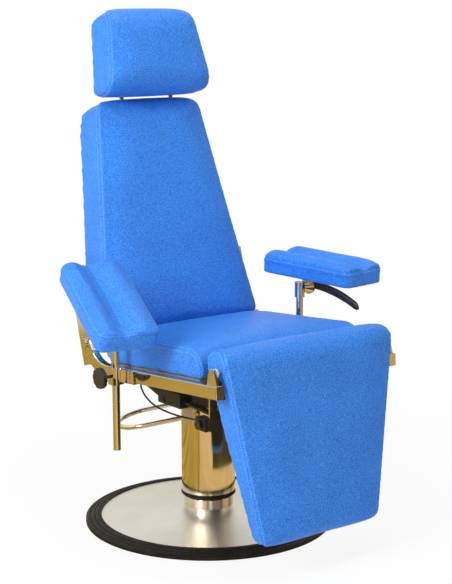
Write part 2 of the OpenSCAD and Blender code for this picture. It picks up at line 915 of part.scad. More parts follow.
// Route of the release cable, from under the rail to the release head
cable_route = [
    [-257, -84, 403.5], [-257, -85, 394], [-251, -95, 373], [-236, -112, 352],
    [-213, -130, 337], [-188, -146, 326], [-166, -158, 319], [-158, -169, 317], [-157, -177.7, 316]
];
function cable_at(u) = let (
    n = len(cable_route),
    i = min(floor(u), n - 2),
    f = u - i,
    a = cable_route[max(i - 1, 0)],
    b = cable_route[i],
    c = cable_route[i + 1],
    d = cable_route[min(i + 2, n - 1)]
) b + f * (c - a) / 2 + f * f * (2 * a - 5 * b + 4 * c - d) / 2 + f * f * f * (3 * (b - c) + d - a) / 2;

module release_cable() {
    count = (len(cable_route) - 1) * cable_rings_per_run;
    spots = [for (k = [0:count]) cable_at(k / cable_rings_per_run)];
    ways = [for (k = [0:count]) let (
        w = spots[min(k + 1, count)] - spots[max(k - 1, 0)]
    ) w / norm(w)];
    points = [for (k = [0:count], j = [0:cable_sides - 1]) let (
        side = cross(ways[k], [0, 0, 1]),
        u = side / norm(side),
        v = cross(u, ways[k]),
        a = 360 * j / cable_sides
    ) spots[k] + cable_r * (u * cos(a) + v * sin(a))];
    sides = [for (k = [0:count - 1], j = [0:cable_sides - 1]) let (
        a = k * cable_sides + j,
        b = k * cable_sides + (j + 1) % cable_sides
    ) each [[a, b, b + cable_sides], [a, b + cable_sides, a + cable_sides]]];
    ends = [
        [for (j = [cable_sides - 1:-1:0]) j],
        [for (j = [0:cable_sides - 1]) count * cable_sides + j]
    ];
    color(soft_black) polyhedron(points = points, faces = concat(sides, ends));
}

module back_cushion() {
    places = [for (i = [0:cushion_rings - 1]) ring_place(i, cushion_rings, back_bottom, back_top)];
    rings = [for (a = places) let (
        d = min(a - back_bottom, back_top - a),
        g = fall(d, 3 * back_corner),
        t = (a - back_bottom) / back_len,
        w = back_half_low + (back_half_top - back_half_low) * t
            - back_corner * (1 - fall(d, back_corner)) * t,
        rear = back_rear + back_rear_round * (1 - fall(back_top - a, back_rear_round))
    ) ring(w, rear, back_seam, back_crown * g, rear_edge_round, side_draw)];
    color(vinyl_blue) difference() {
        back_frame() rotate([90, 0, 0]) loft(places, rings);
        back_frame() for (s = [-1, 1])
            translate([s * head_post_x, head_post_y, back_top - socket_low - post_r])
                cylinder(r = post_r + socket_wall + gap, h = socket_low + 2 * post_r, $fn = 24);
    }
}

// Flat board with the cushion's tapering outline, in the back's own frame
module taper_board(low, high, half_low, half_high, y0, t) {
    translate([0, y0 + t, 0]) rotate([90, 0, 0]) linear_extrude(height = t)
        polygon([[-half_low, low], [half_low, low], [half_high, high], [-half_high, high]]);
}

module back_board() {
    inset = 2 * bracket_flange_t;
    color(lining_black) back_frame() taper_board(
        back_bottom + inset, back_top - back_rear_round,
        back_half_low - inset, back_half_top - inset,
        -back_rear + gap, board_t);
}

module back_brackets() {
    rear = -back_rear + gap + board_t;
    edge = bracket_shift + bracket_half;
    color(chrome_grey) back_frame() for (s = [-1, 1]) mirror([s > 0 ? 0 : 1, 0, 0]) difference() {
        union() {
            translate([bracket_x, bracket_shift - bracket_half, -bracket_low])
                cube([bracket_t, 2 * bracket_half, bracket_low + bracket_high]);
            translate([bracket_x, edge - over, -bracket_tail])
                cube([bracket_t, rear + bracket_flange_t - edge + over, bracket_high + bracket_tail]);
            translate([bracket_x + bracket_t - bracket_flange_w, rear, bracket_flange_low])
                cube([bracket_flange_w, bracket_flange_t, bracket_high - bracket_flange_low]);
        }
        x_rod(bracket_x - over, bracket_x + bracket_t + over, pivot_r + fit);
    }
}

module back_lever() {
    lug = [
        back_lug_reach * cos(back_lug_angle + back_lean),
        back_lug_reach * sin(back_lug_angle + back_lean)
    ];
    near = spring_eye_t / 2 + lever_gap;
    color(chrome_grey) back_frame() {
        translate([0, lever_tube_y, lever_tube_z]) difference() {
            x_rod(-bracket_x, bracket_x, lever_tube_r);
            x_rod(-bracket_x - over, bracket_x + over, lever_tube_r - lever_tube_wall);
        }
        for (x = [back_spring_x - near - lever_t, back_spring_x + near]) difference() {
            hull() {
                translate([0, lever_tube_y, lever_tube_z])
                    x_rod(x, x + lever_t, lever_tube_r + lever_tube_wall);
                translate([0, lug[0], lug[1]]) x_rod(x, x + lever_t, back_open_r + open_wall);
            }
            translate([0, lever_tube_y, lever_tube_z])
                x_rod(x - over, x + lever_t + over, lever_tube_r - lever_tube_wall / 2);
            translate([0, lug[0], lug[1]]) x_rod(x - over, x + lever_t + over, back_open_r);
        }
    }
}

module headrest_sockets() {
    color(soft_black) back_frame() for (s = [-1, 1])
        translate([s * head_post_x, head_post_y, back_top - socket_low])
            ring_solid(post_r + socket_wall, post_r + fit, socket_low - socket_top_drop);
}

module head_cushion() {
    places = [for (i = [0:cushion_rings - 1]) ring_place(i, cushion_rings, head_bottom, head_top)];
    rings = [for (a = places) let (
        d = min(a - head_bottom, head_top - a),
        g = fall(d, 2 * head_corner),
        t = (a - head_bottom) / head_len,
        w = head_half_low + (head_half_top - head_half_low) * t - head_corner * (1 - fall(d, head_corner)),
        rear = head_seam - head_depth + head_rear_round * (1 - fall(head_top - a, head_rear_round)),
        seam = head_seam - head_front_round * (1 - fall(d, head_front_round))
    ) ring(w, rear, seam, head_crown * g, rear_edge_round, side_draw)];
    color(vinyl_blue) difference() {
        back_frame() rotate([90, 0, 0]) loft(places, rings);
        back_frame() for (s = [-1, 1]) translate([s * head_post_x, head_post_y, head_bottom - over])
            cylinder(r = post_r + gap, h = head_post_in + over + gap, $fn = 24);
    }
}

module head_board() {
    inset = head_corner / 2;
    color(lining_black) back_frame() taper_board(
        head_bottom + inset, head_top - head_rear_round,
        head_half_low - head_corner, head_half_top - inset,
        head_depth - head_seam + gap, head_board_t);
}

module head_posts() {
    low = back_top - head_post_low;
    color(chrome_grey) back_frame() for (s = [-1, 1]) translate([s * head_post_x, head_post_y, low])
        cylinder(r = post_r, h = head_bottom + head_post_in - low);
}

module leg_cushion() {
    pocket = 2 * gap;
    places = [for (i = [0:cushion_rings - 1]) ring_place(i, cushion_rings, -leg_len, leg_top)];
    rings = [for (a = places) let (
        dt = leg_top - a,
        dl = a + leg_len,
        gt = fall(dt, leg_top_round),
        gl = fall(dl, leg_low_round),
        t = (a + leg_len) / leg_len,
        w = t < 1
            ? leg_half_low + (leg_half_pivot - leg_half_low) * t
            : leg_half_pivot + (leg_half_top - leg_half_pivot) * (a / leg_top),
        rear = -leg_rear_pivot + (leg_rear_pivot - leg_rear_low) * max(0, 1 - t) + leg_top_round * (1 - gt),
        seam = leg_seam - leg_top_round * (1 - gt) * (1 - fillet_share),
        corner = leg_corner * (1 - fall(dl, leg_corner))
    ) ring(w - corner, rear, seam, leg_crown * gt * gl, leg_edge_round, side_draw)];
    color(vinyl_blue) difference() {
        leg_frame() rotate([90, 0, 0]) loft(places, rings);
        leg_frame() for (s = [-1, 1]) mirror([s > 0 ? 0 : 1, 0, 0]) {
            translate([leg_arm_x - pocket, 0, 0]) {
                translate([0, -leg_arm_r - pocket, -leg_arm_low - pocket])
                    cube([leg_arm_t + 2 * pocket, leg_rear_pivot + leg_arm_r + leg_top_round,
                        leg_arm_low + leg_arm_r + 2 * pocket]);
            }
            x_rod(leg_arm_x, leg_half_top + over, pivot_r + pocket);
        }
    }
}

module leg_board() {
    color(lining_black) leg_frame() translate([0, leg_rear_pivot + gap, 0]) rotate([-leg_wedge, 0, 0])
        taper_board(-leg_len + leg_corner, leg_top - leg_top_round,
            leg_half_low - leg_corner / 2, leg_half_pivot - leg_corner, 0, board_t);
}

// Plates inside the cushion's sides that the leg rest turns on
module leg_brackets() {
    color(soft_black) leg_frame() for (s = [-1, 1]) mirror([s > 0 ? 0 : 1, 0, 0]) difference() {
        union() {
            x_rod(leg_arm_x, leg_arm_x + leg_arm_t, leg_arm_r);
            translate([leg_arm_x, 0, -leg_arm_low])
                cube([leg_arm_t, leg_rear_pivot - leg_arm_low * tan(leg_wedge), leg_arm_low + leg_arm_r]);
        }
        x_rod(leg_arm_x - over, leg_arm_x + leg_arm_t + over, pivot_r + fit);
    }
}

// Arm rest: side is 1 for the sitter's left, -1 for the right
function pad_turn(side) = side > 0 ? pad_turn_left : -pad_turn_right;
function pad_slope(side) = side > 0 ? pad_slope_left : pad_slope_right;
function knuckle_z(side) = side > 0 ? knuckle_z_left : knuckle_z_right;
module knuckle_frame(side) {
    translate([side * arm_x, arm_y, knuckle_z(side)]) rotate([0, 0, pad_turn(side)])
        mirror([side > 0 ? 0 : 1, 0, 0]) children();
}
module pad_frame(side) {
    knuckle_frame(side) rotate([pad_slope(side), 0, 0]) children();
}

// Hooked under the rail and held by its own plates: an outer plate, a lip, an inner plate and the post's ring
module arm_clamp(side) {
    low = -rail_h / 2 - clamp_wall;
    run = clamp_rear - clamp_front;
    color(chrome_grey) mirror([side > 0 ? 0 : 1, 0, 0]) difference() {
        union() {
            frame_plane() translate([0, clamp_front, low]) {
                translate([rail_outer_x + fit, 0, 0])
                    cube([clamp_wall, run, rail_h + clamp_wall - clamp_edge]);
                translate([rail_inner_x - clamp_inner_wall, 0, 0])
                    cube([rail_w + clamp_wall + clamp_inner_wall, run, clamp_wall - fit]);
                translate([rail_inner_x - clamp_inner_wall, 0, 0])
                    cube([clamp_inner_wall - fit, run, rail_h + clamp_wall - clamp_edge]);
            }
            translate([rail_outer_x + fit, arm_y - clamp_half, clamp_low])
                cube([arm_x + clamp_out - rail_outer_x, 2 * clamp_half, clamp_top - clamp_low]);
            translate([arm_x, arm_y, clamp_low])
                cylinder(r = arm_post_r + clamp_ring, h = clamp_top - clamp_low);
        }
        translate([arm_x, arm_y, clamp_low - over])
            cylinder(r = arm_post_r + fit, h = clamp_top - clamp_low + 2 * over);
        translate([0, arm_y, knob_z])
            x_rod(arm_x + arm_post_r, arm_x + clamp_out + clamp_half, knob_stud_r + fit);
    }
}
module arm_clamp_left() { arm_clamp(1); }
module arm_clamp_right() { arm_clamp(-1); }

module arm_knob(side) {
    face = arm_x + clamp_out + knob_stud_out;
    color(soft_black) mirror([side > 0 ? 0 : 1, 0, 0]) translate([0, arm_y, knob_z]) {
        x_rod(arm_x + arm_post_r + 2 * gap, face + knob_t / 2, knob_stud_r);
        difference() {
            x_rod(face, face + knob_t, knob_r);
            for (i = [0:knob_lobes - 1]) rotate([360 * i / knob_lobes, 0, 0])
                translate([0, 0, knob_r + knob_lobe_r / 2])
                    x_rod(face - over, face + knob_t + over, knob_lobe_r);
        }
    }
}
module arm_knob_left() { arm_knob(1); }
module arm_knob_right() { arm_knob(-1); }

module arm_post(side) {
    top = knuckle_z(side) - head_block_low;
    color(chrome_grey) translate([side * arm_x, arm_y, arm_post_bottom]) {
        cylinder(r = arm_post_r, h = top - gap - arm_post_bottom);
        cylinder(r = spigot_r, h = top - arm_post_bottom + spigot_h);
    }
}
module arm_post_left() { arm_post(1); }
module arm_post_right() { arm_post(-1); }

module arm_head(side) {
    color(chrome_grey) knuckle_frame(side) difference() {
        union() {
            translate([0, 0, -head_block_low])
                cylinder(r = head_block_r, h = head_block_low + head_block_top);
            translate([cone_start, 0, 0]) rotate([0, 90, 0])
                cylinder(r1 = cone_small_r, r2 = cone_big_r, h = cone_end - cone_start);
        }
        translate([0, 0, -head_block_low - over]) cylinder(r = spigot_r + fit, h = spigot_h + over + gap);
        x_rod(cone_end - 3 * bolt_r, cone_end + over, bolt_r + fit);
    }
}
module arm_head_left() { arm_head(1); }
module arm_head_right() { arm_head(-1); }

// Disc on the knuckle, and the plate that carries the pad; the clamp bolt turns with it
module arm_bracket(side) {
    plate_z = pad_floor - gap - pad_plate_t;
    color(chrome_grey) pad_frame(side) {
        x_rod(plate_disc_x, plate_disc_x + plate_disc_t, plate_disc_r);
        translate([plate_disc_x, -plate_disc_r, 0]) cube([plate_disc_t, 2 * plate_disc_r, plate_z]);
        translate([pad_out - pad_plate_half, -pad_plate_len * 2 / 3, plate_z])
            cube([2 * pad_plate_half, pad_plate_len, pad_plate_t]);
        x_rod(cone_end - 2 * bolt_r, lever_hub_x + lever_hub_t / 2, bolt_r);
    }
}
module arm_bracket_left() { arm_bracket(1); }
module arm_bracket_right() { arm_bracket(-1); }

// Half of an arm pad's section: two lobes with a trough between them
function pad_half_ring(w, h, c, g) = concat(
    [[w - pad_low_round, 0], [w, pad_low_round], [w - pad_side_draw, h / 2], [w, h]],
    [for (k = [1:7]) let (u = 1 - k / 8, p = pow(u, 1.2))
        [w * u, h + g * ((c + pad_dip) * sin(180 * p) - pad_dip * (1 - u))]]
);
function pad_ring(w, h, c, g) = let (r = pad_half_ring(w, h, c, g)) concat(
    [[0, 0]], r, [[0, h - g * pad_dip]], [for (i = [len(r) - 1:-1:0]) [-r[i][0], r[i][1]]]
);

module arm_pad(side) {
    places = [for (i = [0:13]) ring_place(i, 14, -(pad_len - pad_behind), pad_behind)];
    rings = [for (a = places) let (
        d = min(a + pad_len - pad_behind, pad_behind - a),
        w = pad_w / 2 - pad_corner * (1 - fall(d, pad_corner))
    ) pad_ring(w, pad_wall_h, pad_crown,
        pad_end_share + (1 - pad_end_share) * fall(d, pad_end_round))];
    color(vinyl_blue) pad_frame(side) translate([pad_out, 0, pad_floor]) loft(places, rings);
}
module arm_pad_left() { arm_pad(1); }
module arm_pad_right() { arm_pad(-1); }

// Curved paddle lever; it points forward on the left and backward on the right
module arm_lever(side) {
    wide = lever_wide / 2;
    drop = lever_wide * lever_drop_share;
    tip = lever_wide * lever_tip_share;
    root = wide * lever_root_share;
    top = [for (i = [0:lever_steps]) let (t = i / lever_steps)
        [-lever_len * t, wide * sin(90 * t + lever_lead) * (1 - lever_taper_share * t) - drop * t * t]];
    low = [for (i = [lever_steps:-1:0]) let (t = i / lever_steps)
        [-lever_len * t, -root - (drop + tip - root) * t * t]];
    color(soft_black) pad_frame(side) mirror([0, side > 0 ? 0 : 1, 0]) difference() {
        union() {
            x_rod(lever_hub_x, lever_hub_x + lever_hub_t, lever_hub_r);
            side_plate(lever_hub_x + lever_inset, lever_hub_t - 2 * lever_inset, concat(top, low));
        }
        x_rod(lever_hub_x - over, lever_hub_x + lever_hub_t / 2 + gap, bolt_r + fit);
    }
}
module arm_lever_left() { arm_lever(1); }
module arm_lever_right() { arm_lever(-1); }

base_plate();
base_rim();
base_cover();
column_collar();
buffer_ring();
inner_column();
lift_cylinder();
column_sleeve();
column_head();
lift_rod();
guide_bushes();
swivel_hub();
frame_cheeks();
cross_tubes();
rail_left();
rail_right();
rail_caps();
seat_board();
seat_cushion();
leg_lugs();
pivot_bolts();
pivot_caps();
spring_bracket();
front_hanger();
release_head();
release_housing();
release_cable();
arm_clamp_left();
arm_clamp_right();
back_cushion();
back_board();
back_brackets();
back_lever();
headrest_sockets();
head_cushion();
head_board();
head_posts();
leg_cushion();
leg_board();
leg_brackets();
back_spring_cylinder();
back_spring_rod();
height_bar();
release_button();
tension_knob();
arm_post_left();
arm_head_left();
arm_bracket_left();
arm_pad_left();
arm_lever_left();
arm_knob_left();
arm_post_right();
arm_head_right();
arm_bracket_right();
arm_pad_right();
arm_lever_right();
arm_knob_right();
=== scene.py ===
"""Looks of the reclining chair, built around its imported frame. Lengths in the tables are in millimetres."""
import math

import bmesh
import bpy
import numpy as np
from mathutils import Matrix, Vector
from mathutils.bvhtree import BVHTree


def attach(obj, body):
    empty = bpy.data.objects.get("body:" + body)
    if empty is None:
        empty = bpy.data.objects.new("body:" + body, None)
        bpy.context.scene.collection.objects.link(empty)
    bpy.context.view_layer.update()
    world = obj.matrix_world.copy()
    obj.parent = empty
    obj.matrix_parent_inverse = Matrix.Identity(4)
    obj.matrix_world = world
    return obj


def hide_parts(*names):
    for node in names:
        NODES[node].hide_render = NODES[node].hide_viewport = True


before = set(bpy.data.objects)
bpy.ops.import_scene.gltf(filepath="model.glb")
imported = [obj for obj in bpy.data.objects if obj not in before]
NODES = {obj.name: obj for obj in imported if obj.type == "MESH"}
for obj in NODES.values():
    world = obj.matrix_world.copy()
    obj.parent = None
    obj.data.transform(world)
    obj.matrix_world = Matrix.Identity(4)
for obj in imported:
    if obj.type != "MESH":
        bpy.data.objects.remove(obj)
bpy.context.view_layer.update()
MM = 0.001
scene = bpy.context.scene
scene.view_settings.view_transform = "Standard"


# ---------------------------------------------------------------- frames of the part
def turn(axis, degrees):
    return Matrix.Rotation(math.radians(degrees), 4, axis)


def shift(x, y, z):
    return Matrix.Translation((x, y, z))


LAID = turn("X", 90)  # (x, along, depth) to (x, -depth, along)
RAIL_Z, SEAT_TILT = 412.4, 4.5
RAILS = shift(0, 0, RAIL_Z) @ turn("X", -SEAT_TILT)
BACK = shift(0, 152.855, 451.532) @ turn("X", -15.4)
LEG = shift(0, -366.065, 482.036) @ turn("X", -5.6)
ARM = {  # side: knuckle height, turn, slope
    1: (560.0, 8.0, 2.0),
    -1: (568.0, -12.6, 25.8),
}
ARM_X, ARM_Y = 283, -17
SIDE = {1: "left", -1: "right"}


def arm_frame(side):
    z, yaw, slope = ARM[side]
    flip = Matrix.Scale(side, 4, (1, 0, 0))
    return shift(side * ARM_X, ARM_Y, z) @ turn("Z", yaw) @ flip @ turn("X", slope)


# ---------------------------------------------------------------- material helpers
def material(name):
    m = bpy.data.materials.new(name)
    m.use_nodes = True
    nodes = m.node_tree.nodes
    nodes.clear()
    out = nodes.new("ShaderNodeOutputMaterial")
    shader = nodes.new("ShaderNodeBsdfPrincipled")
    m.node_tree.links.new(shader.outputs[0], out.inputs[0])
    return m, shader


class Nodes:
    """Short ways to add and join shader nodes."""

    def __init__(self, mat):
        self.tree = mat.node_tree

    def add(self, kind, **values):
        n = self.tree.nodes.new("ShaderNode" + kind)
        for key, value in values.items():
            setattr(n, key, value)
        return n

    def join(self, a, b):
        self.tree.links.new(a, b)

    def place(self):
        return self.add("TexCoord").outputs["Object"]

    def noise(self, scale, detail=2.0, rough=0.5, place=None):
        n = self.add("TexNoise")
        n.inputs["Scale"].default_value = scale
        n.inputs["Detail"].default_value = detail
        n.inputs["Roughness"].default_value = rough
        self.join(place or self.place(), n.inputs["Vector"])
        return n.outputs["Fac"]

    def stretched(self, scale):
        n = self.add("Mapping")
        n.inputs["Scale"].default_value = scale
        self.join(self.place(), n.inputs["Vector"])
        return n.outputs[0]

    def ramp(self, fac, *stops):
        n = self.add("ValToRGB")
        e = n.color_ramp.elements
        while len(e) < len(stops):
            e.new(0.5)
        for k, (at, colour) in enumerate(stops):
            e[k].position = at
            e[k].color = (*colour, 1) if len(colour) == 3 else colour
        self.join(fac, n.inputs[0])
        return n.outputs["Color"]

    def span(self, fac, low, high, from_low=0.3, from_high=0.7):
        n = self.add("MapRange")
        for key, value in (("From Min", from_low), ("From Max", from_high),
                           ("To Min", low), ("To Max", high)):
            n.inputs[key].default_value = value
        self.join(fac, n.inputs["Value"])
        return n.outputs[0]

    def mix(self, fac, a, b):
        n = self.add("Mix", data_type="RGBA")
        for socket, value in ((n.inputs[0], fac), (n.inputs[6], a), (n.inputs[7], b)):
            if isinstance(value, bpy.types.NodeSocket):
                self.join(value, socket)
            else:
                socket.default_value = value if isinstance(value, float) else (*value, 1)
        return n.outputs[2]

    def bump(self, height, strength, distance, under=None):
        n = self.add("Bump")
        n.inputs["Strength"].default_value = strength
        n.inputs["Distance"].default_value = distance
        self.join(height, n.inputs["Height"])
        if under is not None:
            self.join(under, n.inputs["Normal"])
        return n.outputs[0]


def vinyl(name, dark, light):
    """Speckled upholstery vinyl with a fine grain."""
    m, s = material(name)
    n = Nodes(m)
    speck = n.noise(400, 1.5, 0.6)
    broad = n.noise(9, 2)
    colour = n.ramp(speck, (0.38, dark), (0.62, light))
    wear = n.span(broad, 0.94, 1.05)
    shade = n.add("Mix", data_type="RGBA", blend_type="MULTIPLY")
    shade.inputs[0].default_value = 1
    n.join(colour, shade.inputs[6])
    n.join(wear, shade.inputs[7])
    n.join(shade.outputs[2], s.inputs["Base Color"])
    n.join(n.span(n.noise(60, 3), 0.42, 0.54), s.inputs["Roughness"])
    leather = n.add("TexVoronoi", feature="F1")
    leather.inputs["Scale"].default_value = 620
    n.join(n.place(), leather.inputs["Vector"])
    fine = n.bump(leather.outputs["Distance"], 0.35, 0.0004)
    soft = n.bump(n.noise(45, 3), 0.25, 0.002, fine)
    n.join(soft, s.inputs["Normal"])
    s.inputs["Specular IOR Level"].default_value = 0.30
    s.inputs["Sheen Weight"].default_value = 0.04
    s.inputs["Sheen Roughness"].default_value = 0.5
    s.inputs["Sheen Tint"].default_value = (0.75, 0.86, 1, 1)
    return m


def metal(name, colour, rough, spread=0.04, scratch=0.0, stretch=(1, 1, 1), scale=40):
    """Plated or brushed metal: roughness and colour vary a little over the surface."""
    m, s = material(name)
    n = Nodes(m)
    smear = n.noise(scale, 4, 0.6, n.stretched(stretch))
    broad = n.noise(14, 2)
    tone = n.ramp(broad, (0.3, tuple(c * 0.94 for c in colour)), (0.7, colour))
    n.join(tone, s.inputs["Base Color"])
    n.join(n.span(smear, rough, rough + spread), s.inputs["Roughness"])
    s.inputs["Metallic"].default_value = 1
    if scratch:
        n.join(n.bump(smear, scratch, 0.0003), s.inputs["Normal"])
    return m


def moulded(name, colour, light, rough, bump=0.15, scale=300, coat=0.0, specular=0.5):
    """Moulded plastic or rubber with a fine texture and worn, paler patches."""
    m, s = material(name)
    n = Nodes(m)
    worn = n.noise(26, 5, 0.65)
    n.join(n.ramp(worn, (0.45, colour), (0.78, light)), s.inputs["Base Color"])
    n.join(n.span(n.noise(80, 3), rough, rough + 0.12), s.inputs["Roughness"])
    n.join(n.bump(n.noise(scale, 2), bump, 0.0004), s.inputs["Normal"])
    s.inputs["Specular IOR Level"].default_value = specular
    if coat:
        s.inputs["Coat Weight"].default_value = coat
        s.inputs["Coat Roughness"].default_value = 0.15
    return m


def wood(name):
    """Plywood: layers of two browns with fine fibres."""
    m, s = material(name)
    n = Nodes(m)
    layers = n.add("TexWave", wave_type="BANDS", bands_direction="Z")
    layers.inputs["Scale"].default_value = 90
    layers.inputs["Distortion"].default_value = 1.2
    n.join(n.place(), layers.inputs["Vector"])
    fibre = n.noise(60, 5, 0.6, n.stretched((1, 18, 6)))
    colour = n.mix(n.ramp(layers.outputs["Fac"], (0.3, (0, 0, 0)), (0.7, (1, 1, 1))),
                   n.ramp(fibre, (0.3, (0.36, 0.22, 0.10)), (0.7, (0.52, 0.35, 0.18))),
                   n.ramp(fibre, (0.3, (0.20, 0.11, 0.05)), (0.7, (0.33, 0.20, 0.09))))
    n.join(colour, s.inputs["Base Color"])
    s.inputs["Roughness"].default_value = 0.6
    n.join(n.bump(fibre, 0.3, 0.0005), s.inputs["Normal"])
    return m


VINYL = vinyl("blue_vinyl", (0.004, 0.145, 0.67), (0.058, 0.285, 0.80))
THREAD, thread = material("light_thread")
THREAD_NODES = Nodes(THREAD)
THREAD_NODES.join(
    THREAD_NODES.ramp(THREAD_NODES.noise(900, 1), (0.3, (0.13, 0.38, 0.88)), (0.7, (0.24, 0.50, 0.95))),
    thread.inputs["Base Color"])
thread.inputs["Roughness"].default_value = 0.7
# The chrome's warm gold tint is partly a painted reflection of a wood floor, put into its base colour so it
# looks golden under any light.
CHROME = metal("warm_chrome_partly_painted_reflection", (0.84, 0.76, 0.62), 0.07, 0.05)
# The sleeve's warm tint is also partly a painted reflection of a wood floor.
SLEEVE = metal("polished_sleeve", (0.84, 0.74, 0.56), 0.06, 0.05, stretch=(1, 1, 0.05), scale=60)
STEEL = metal("zinc_steel", (0.50, 0.48, 0.45), 0.32, 0.15, 0.2, scale=120)
SATIN = metal("satin_cover", (0.84, 0.84, 0.80), 0.32, 0.10, 0.10, scale=420)
RUBBER = moulded("ribbed_rubber", (0.010, 0.009, 0.007), (0.026, 0.023, 0.017), 0.42, 0.2, specular=0.16)
PAINT = moulded("black_paint", (0.010, 0.010, 0.009), (0.03, 0.028, 0.024), 0.36, 0.25, 500)
PLASTIC = moulded("black_plastic", (0.014, 0.013, 0.010), (0.04, 0.036, 0.026), 0.30, 0.15, 420, coat=0.3)
CABLE = moulded("cable_black", (0.010, 0.009, 0.008), (0.03, 0.027, 0.022), 0.45, 0.2, 700)
WHITE = moulded("white_plastic", (0.78, 0.79, 0.76), (0.66, 0.66, 0.60), 0.35, 0.08, 300)
LINING = moulded("black_lining", (0.016, 0.015, 0.013), (0.035, 0.032, 0.028), 0.62, 0.45, 900)
PLY = wood("plywood")
# The front hanger's plate is plated and its braces are painted: the plate ends at this depth
PLATE_REAR = -0.2178
HANGER, hanger_shader = material("hanger_plate_and_braces")
hn = Nodes(HANGER)
depth = hn.add("SeparateXYZ")
hn.join(hn.place(), depth.inputs[0])
behind = hn.add("Math", operation="GREATER_THAN")
hn.join(depth.outputs["Y"], behind.inputs[0])
behind.inputs[1].default_value = PLATE_REAR
# The plate keeps the chrome's warm tint, which is partly a painted reflection of a wood floor.
hn.join(hn.mix(behind.outputs[0], (0.84, 0.76, 0.62), (0.012, 0.012, 0.010)),
        hanger_shader.inputs["Base Color"])
hn.join(hn.span(behind.outputs[0], 1.0, 0.0, 0.0, 1.0), hanger_shader.inputs["Metallic"])
hn.join(hn.span(hn.noise(60, 3), 0.10, 0.30), hanger_shader.inputs["Roughness"])

NODE_LOOKS = {
    CHROME: "rail_left rail_right rail_caps leg_lugs pivot_bolts head_posts height_bar "
            "arm_clamp_left arm_clamp_right arm_post_left arm_post_right arm_head_left arm_head_right "
            "arm_bracket_left arm_bracket_right lift_rod column_collar back_spring_rod back_brackets",
    SLEEVE: "column_sleeve inner_column",
    STEEL: "base_plate column_head swivel_hub",
    SATIN: "base_cover",
    RUBBER: "base_rim buffer_ring guide_bushes",
    PAINT: "frame_cheeks cross_tubes spring_bracket release_head back_lever leg_brackets "
           "lift_cylinder back_spring_cylinder",
    PLASTIC: "release_housing release_button tension_knob headrest_sockets arm_knob_left arm_knob_right",
    WHITE: "pivot_caps",
    HANGER: "front_hanger",
    PLY: "seat_board",
}
for look, names in NODE_LOOKS.items():
    for name in names.split():
        ob = NODES[name]
        ob.data.materials.clear()
        ob.data.materials.append(look)

SOFTENED = {  # node: width of its edge rounding
    "rail_left": 2.2, "rail_right": 2.2, "rail_caps": 0.8, "front_hanger": 0.6, "leg_lugs": 0.8,
    "arm_clamp_left": 1.6, "arm_clamp_right": 1.6, "arm_bracket_left": 0.8, "arm_bracket_right": 0.8,
    "arm_knob_left": 1.2, "arm_knob_right": 1.2, "pivot_bolts": 0.8, "release_head": 1.2,
    "spring_bracket": 1.2, "tension_knob": 1.0, "column_collar": 0.8, "buffer_ring": 1.0,
    "arm_post_left": 0.8, "arm_post_right": 0.8, "release_button": 1.0, "pivot_caps": 0.8,
    "frame_cheeks": 1.0, "cross_tubes": 1.5, "base_rim": 0.8, "back_brackets": 1.0, "column_head": 0.8,
}
WELD_GAP, EDGE_DEGREES = 0.00001, 38
for name, width in SOFTENED.items():
    ob = NODES[name]
    weld = ob.modifiers.new("Weld", "WELD")
    weld.merge_threshold = WELD_GAP
    bevel = ob.modifiers.new("Edges", "BEVEL")
    bevel.width, bevel.segments, bevel.limit_method = width * MM, 2, "ANGLE"
    bevel.angle_limit = math.radians(EDGE_DEGREES)
    bevel.use_clamp_overlap = True
    ob.modifiers.new("Normals", "WEIGHTED_NORMAL").keep_sharp = True


# ---------------------------------------------------------------- mesh helpers
def coords(me):
    a = np.empty(len(me.vertices) * 3)
    me.vertices.foreach_get("co", a)
    return a.reshape(-1, 3)


def set_coords(me, a):
    me.vertices.foreach_set("co", np.ascontiguousarray(a).ravel())
    me.update()


def placed(points, at):
    """Local millimetres to metres in the shared frame."""
    m = np.array(at)
    p = np.asarray(points, float)
    return (p @ m[:3, :3].T + m[:3, 3]) * MM


def tube(rings, n, base=0):
    """Faces and two caps of a tube whose rings have n points each, numbered one ring after the other."""
    faces = []
    for i in range(rings - 1):
        low, high = base + i * n, base + (i + 1) * n
        faces += [(low + j, low + (j + 1) % n, high + (j + 1) % n, high + j) for j in range(n)]
    return faces + [tuple(range(base, base + n)), tuple(range(high, high + n))]


def add_object(name, verts, faces, materials):
    me = bpy.data.meshes.new(name)
    me.from_pydata([tuple(v) for v in verts], [], faces)
    bm = bmesh.new()
    bm.from_mesh(me)
    bmesh.ops.recalc_face_normals(bm, faces=bm.faces)
    bm.to_mesh(me)
    bm.free()
    for m in materials:
        me.materials.append(m)
    me.shade_smooth()
    ob = bpy.data.objects.new(name, me)
    scene.collection.objects.link(ob)
    return ob


def bake(ob):
    """Applies the modifiers of an object."""
    dg = bpy.context.evaluated_depsgraph_get()
    me = bpy.data.meshes.new_from_object(ob.evaluated_get(dg), depsgraph=dg)
    ob.modifiers.clear()
    old = ob.data
    ob.data = me
    bpy.data.meshes.remove(old)
    me.shade_smooth()


def unit(v):
    return v / np.maximum(np.linalg.norm(v, axis=-1, keepdims=True), 1e-9)


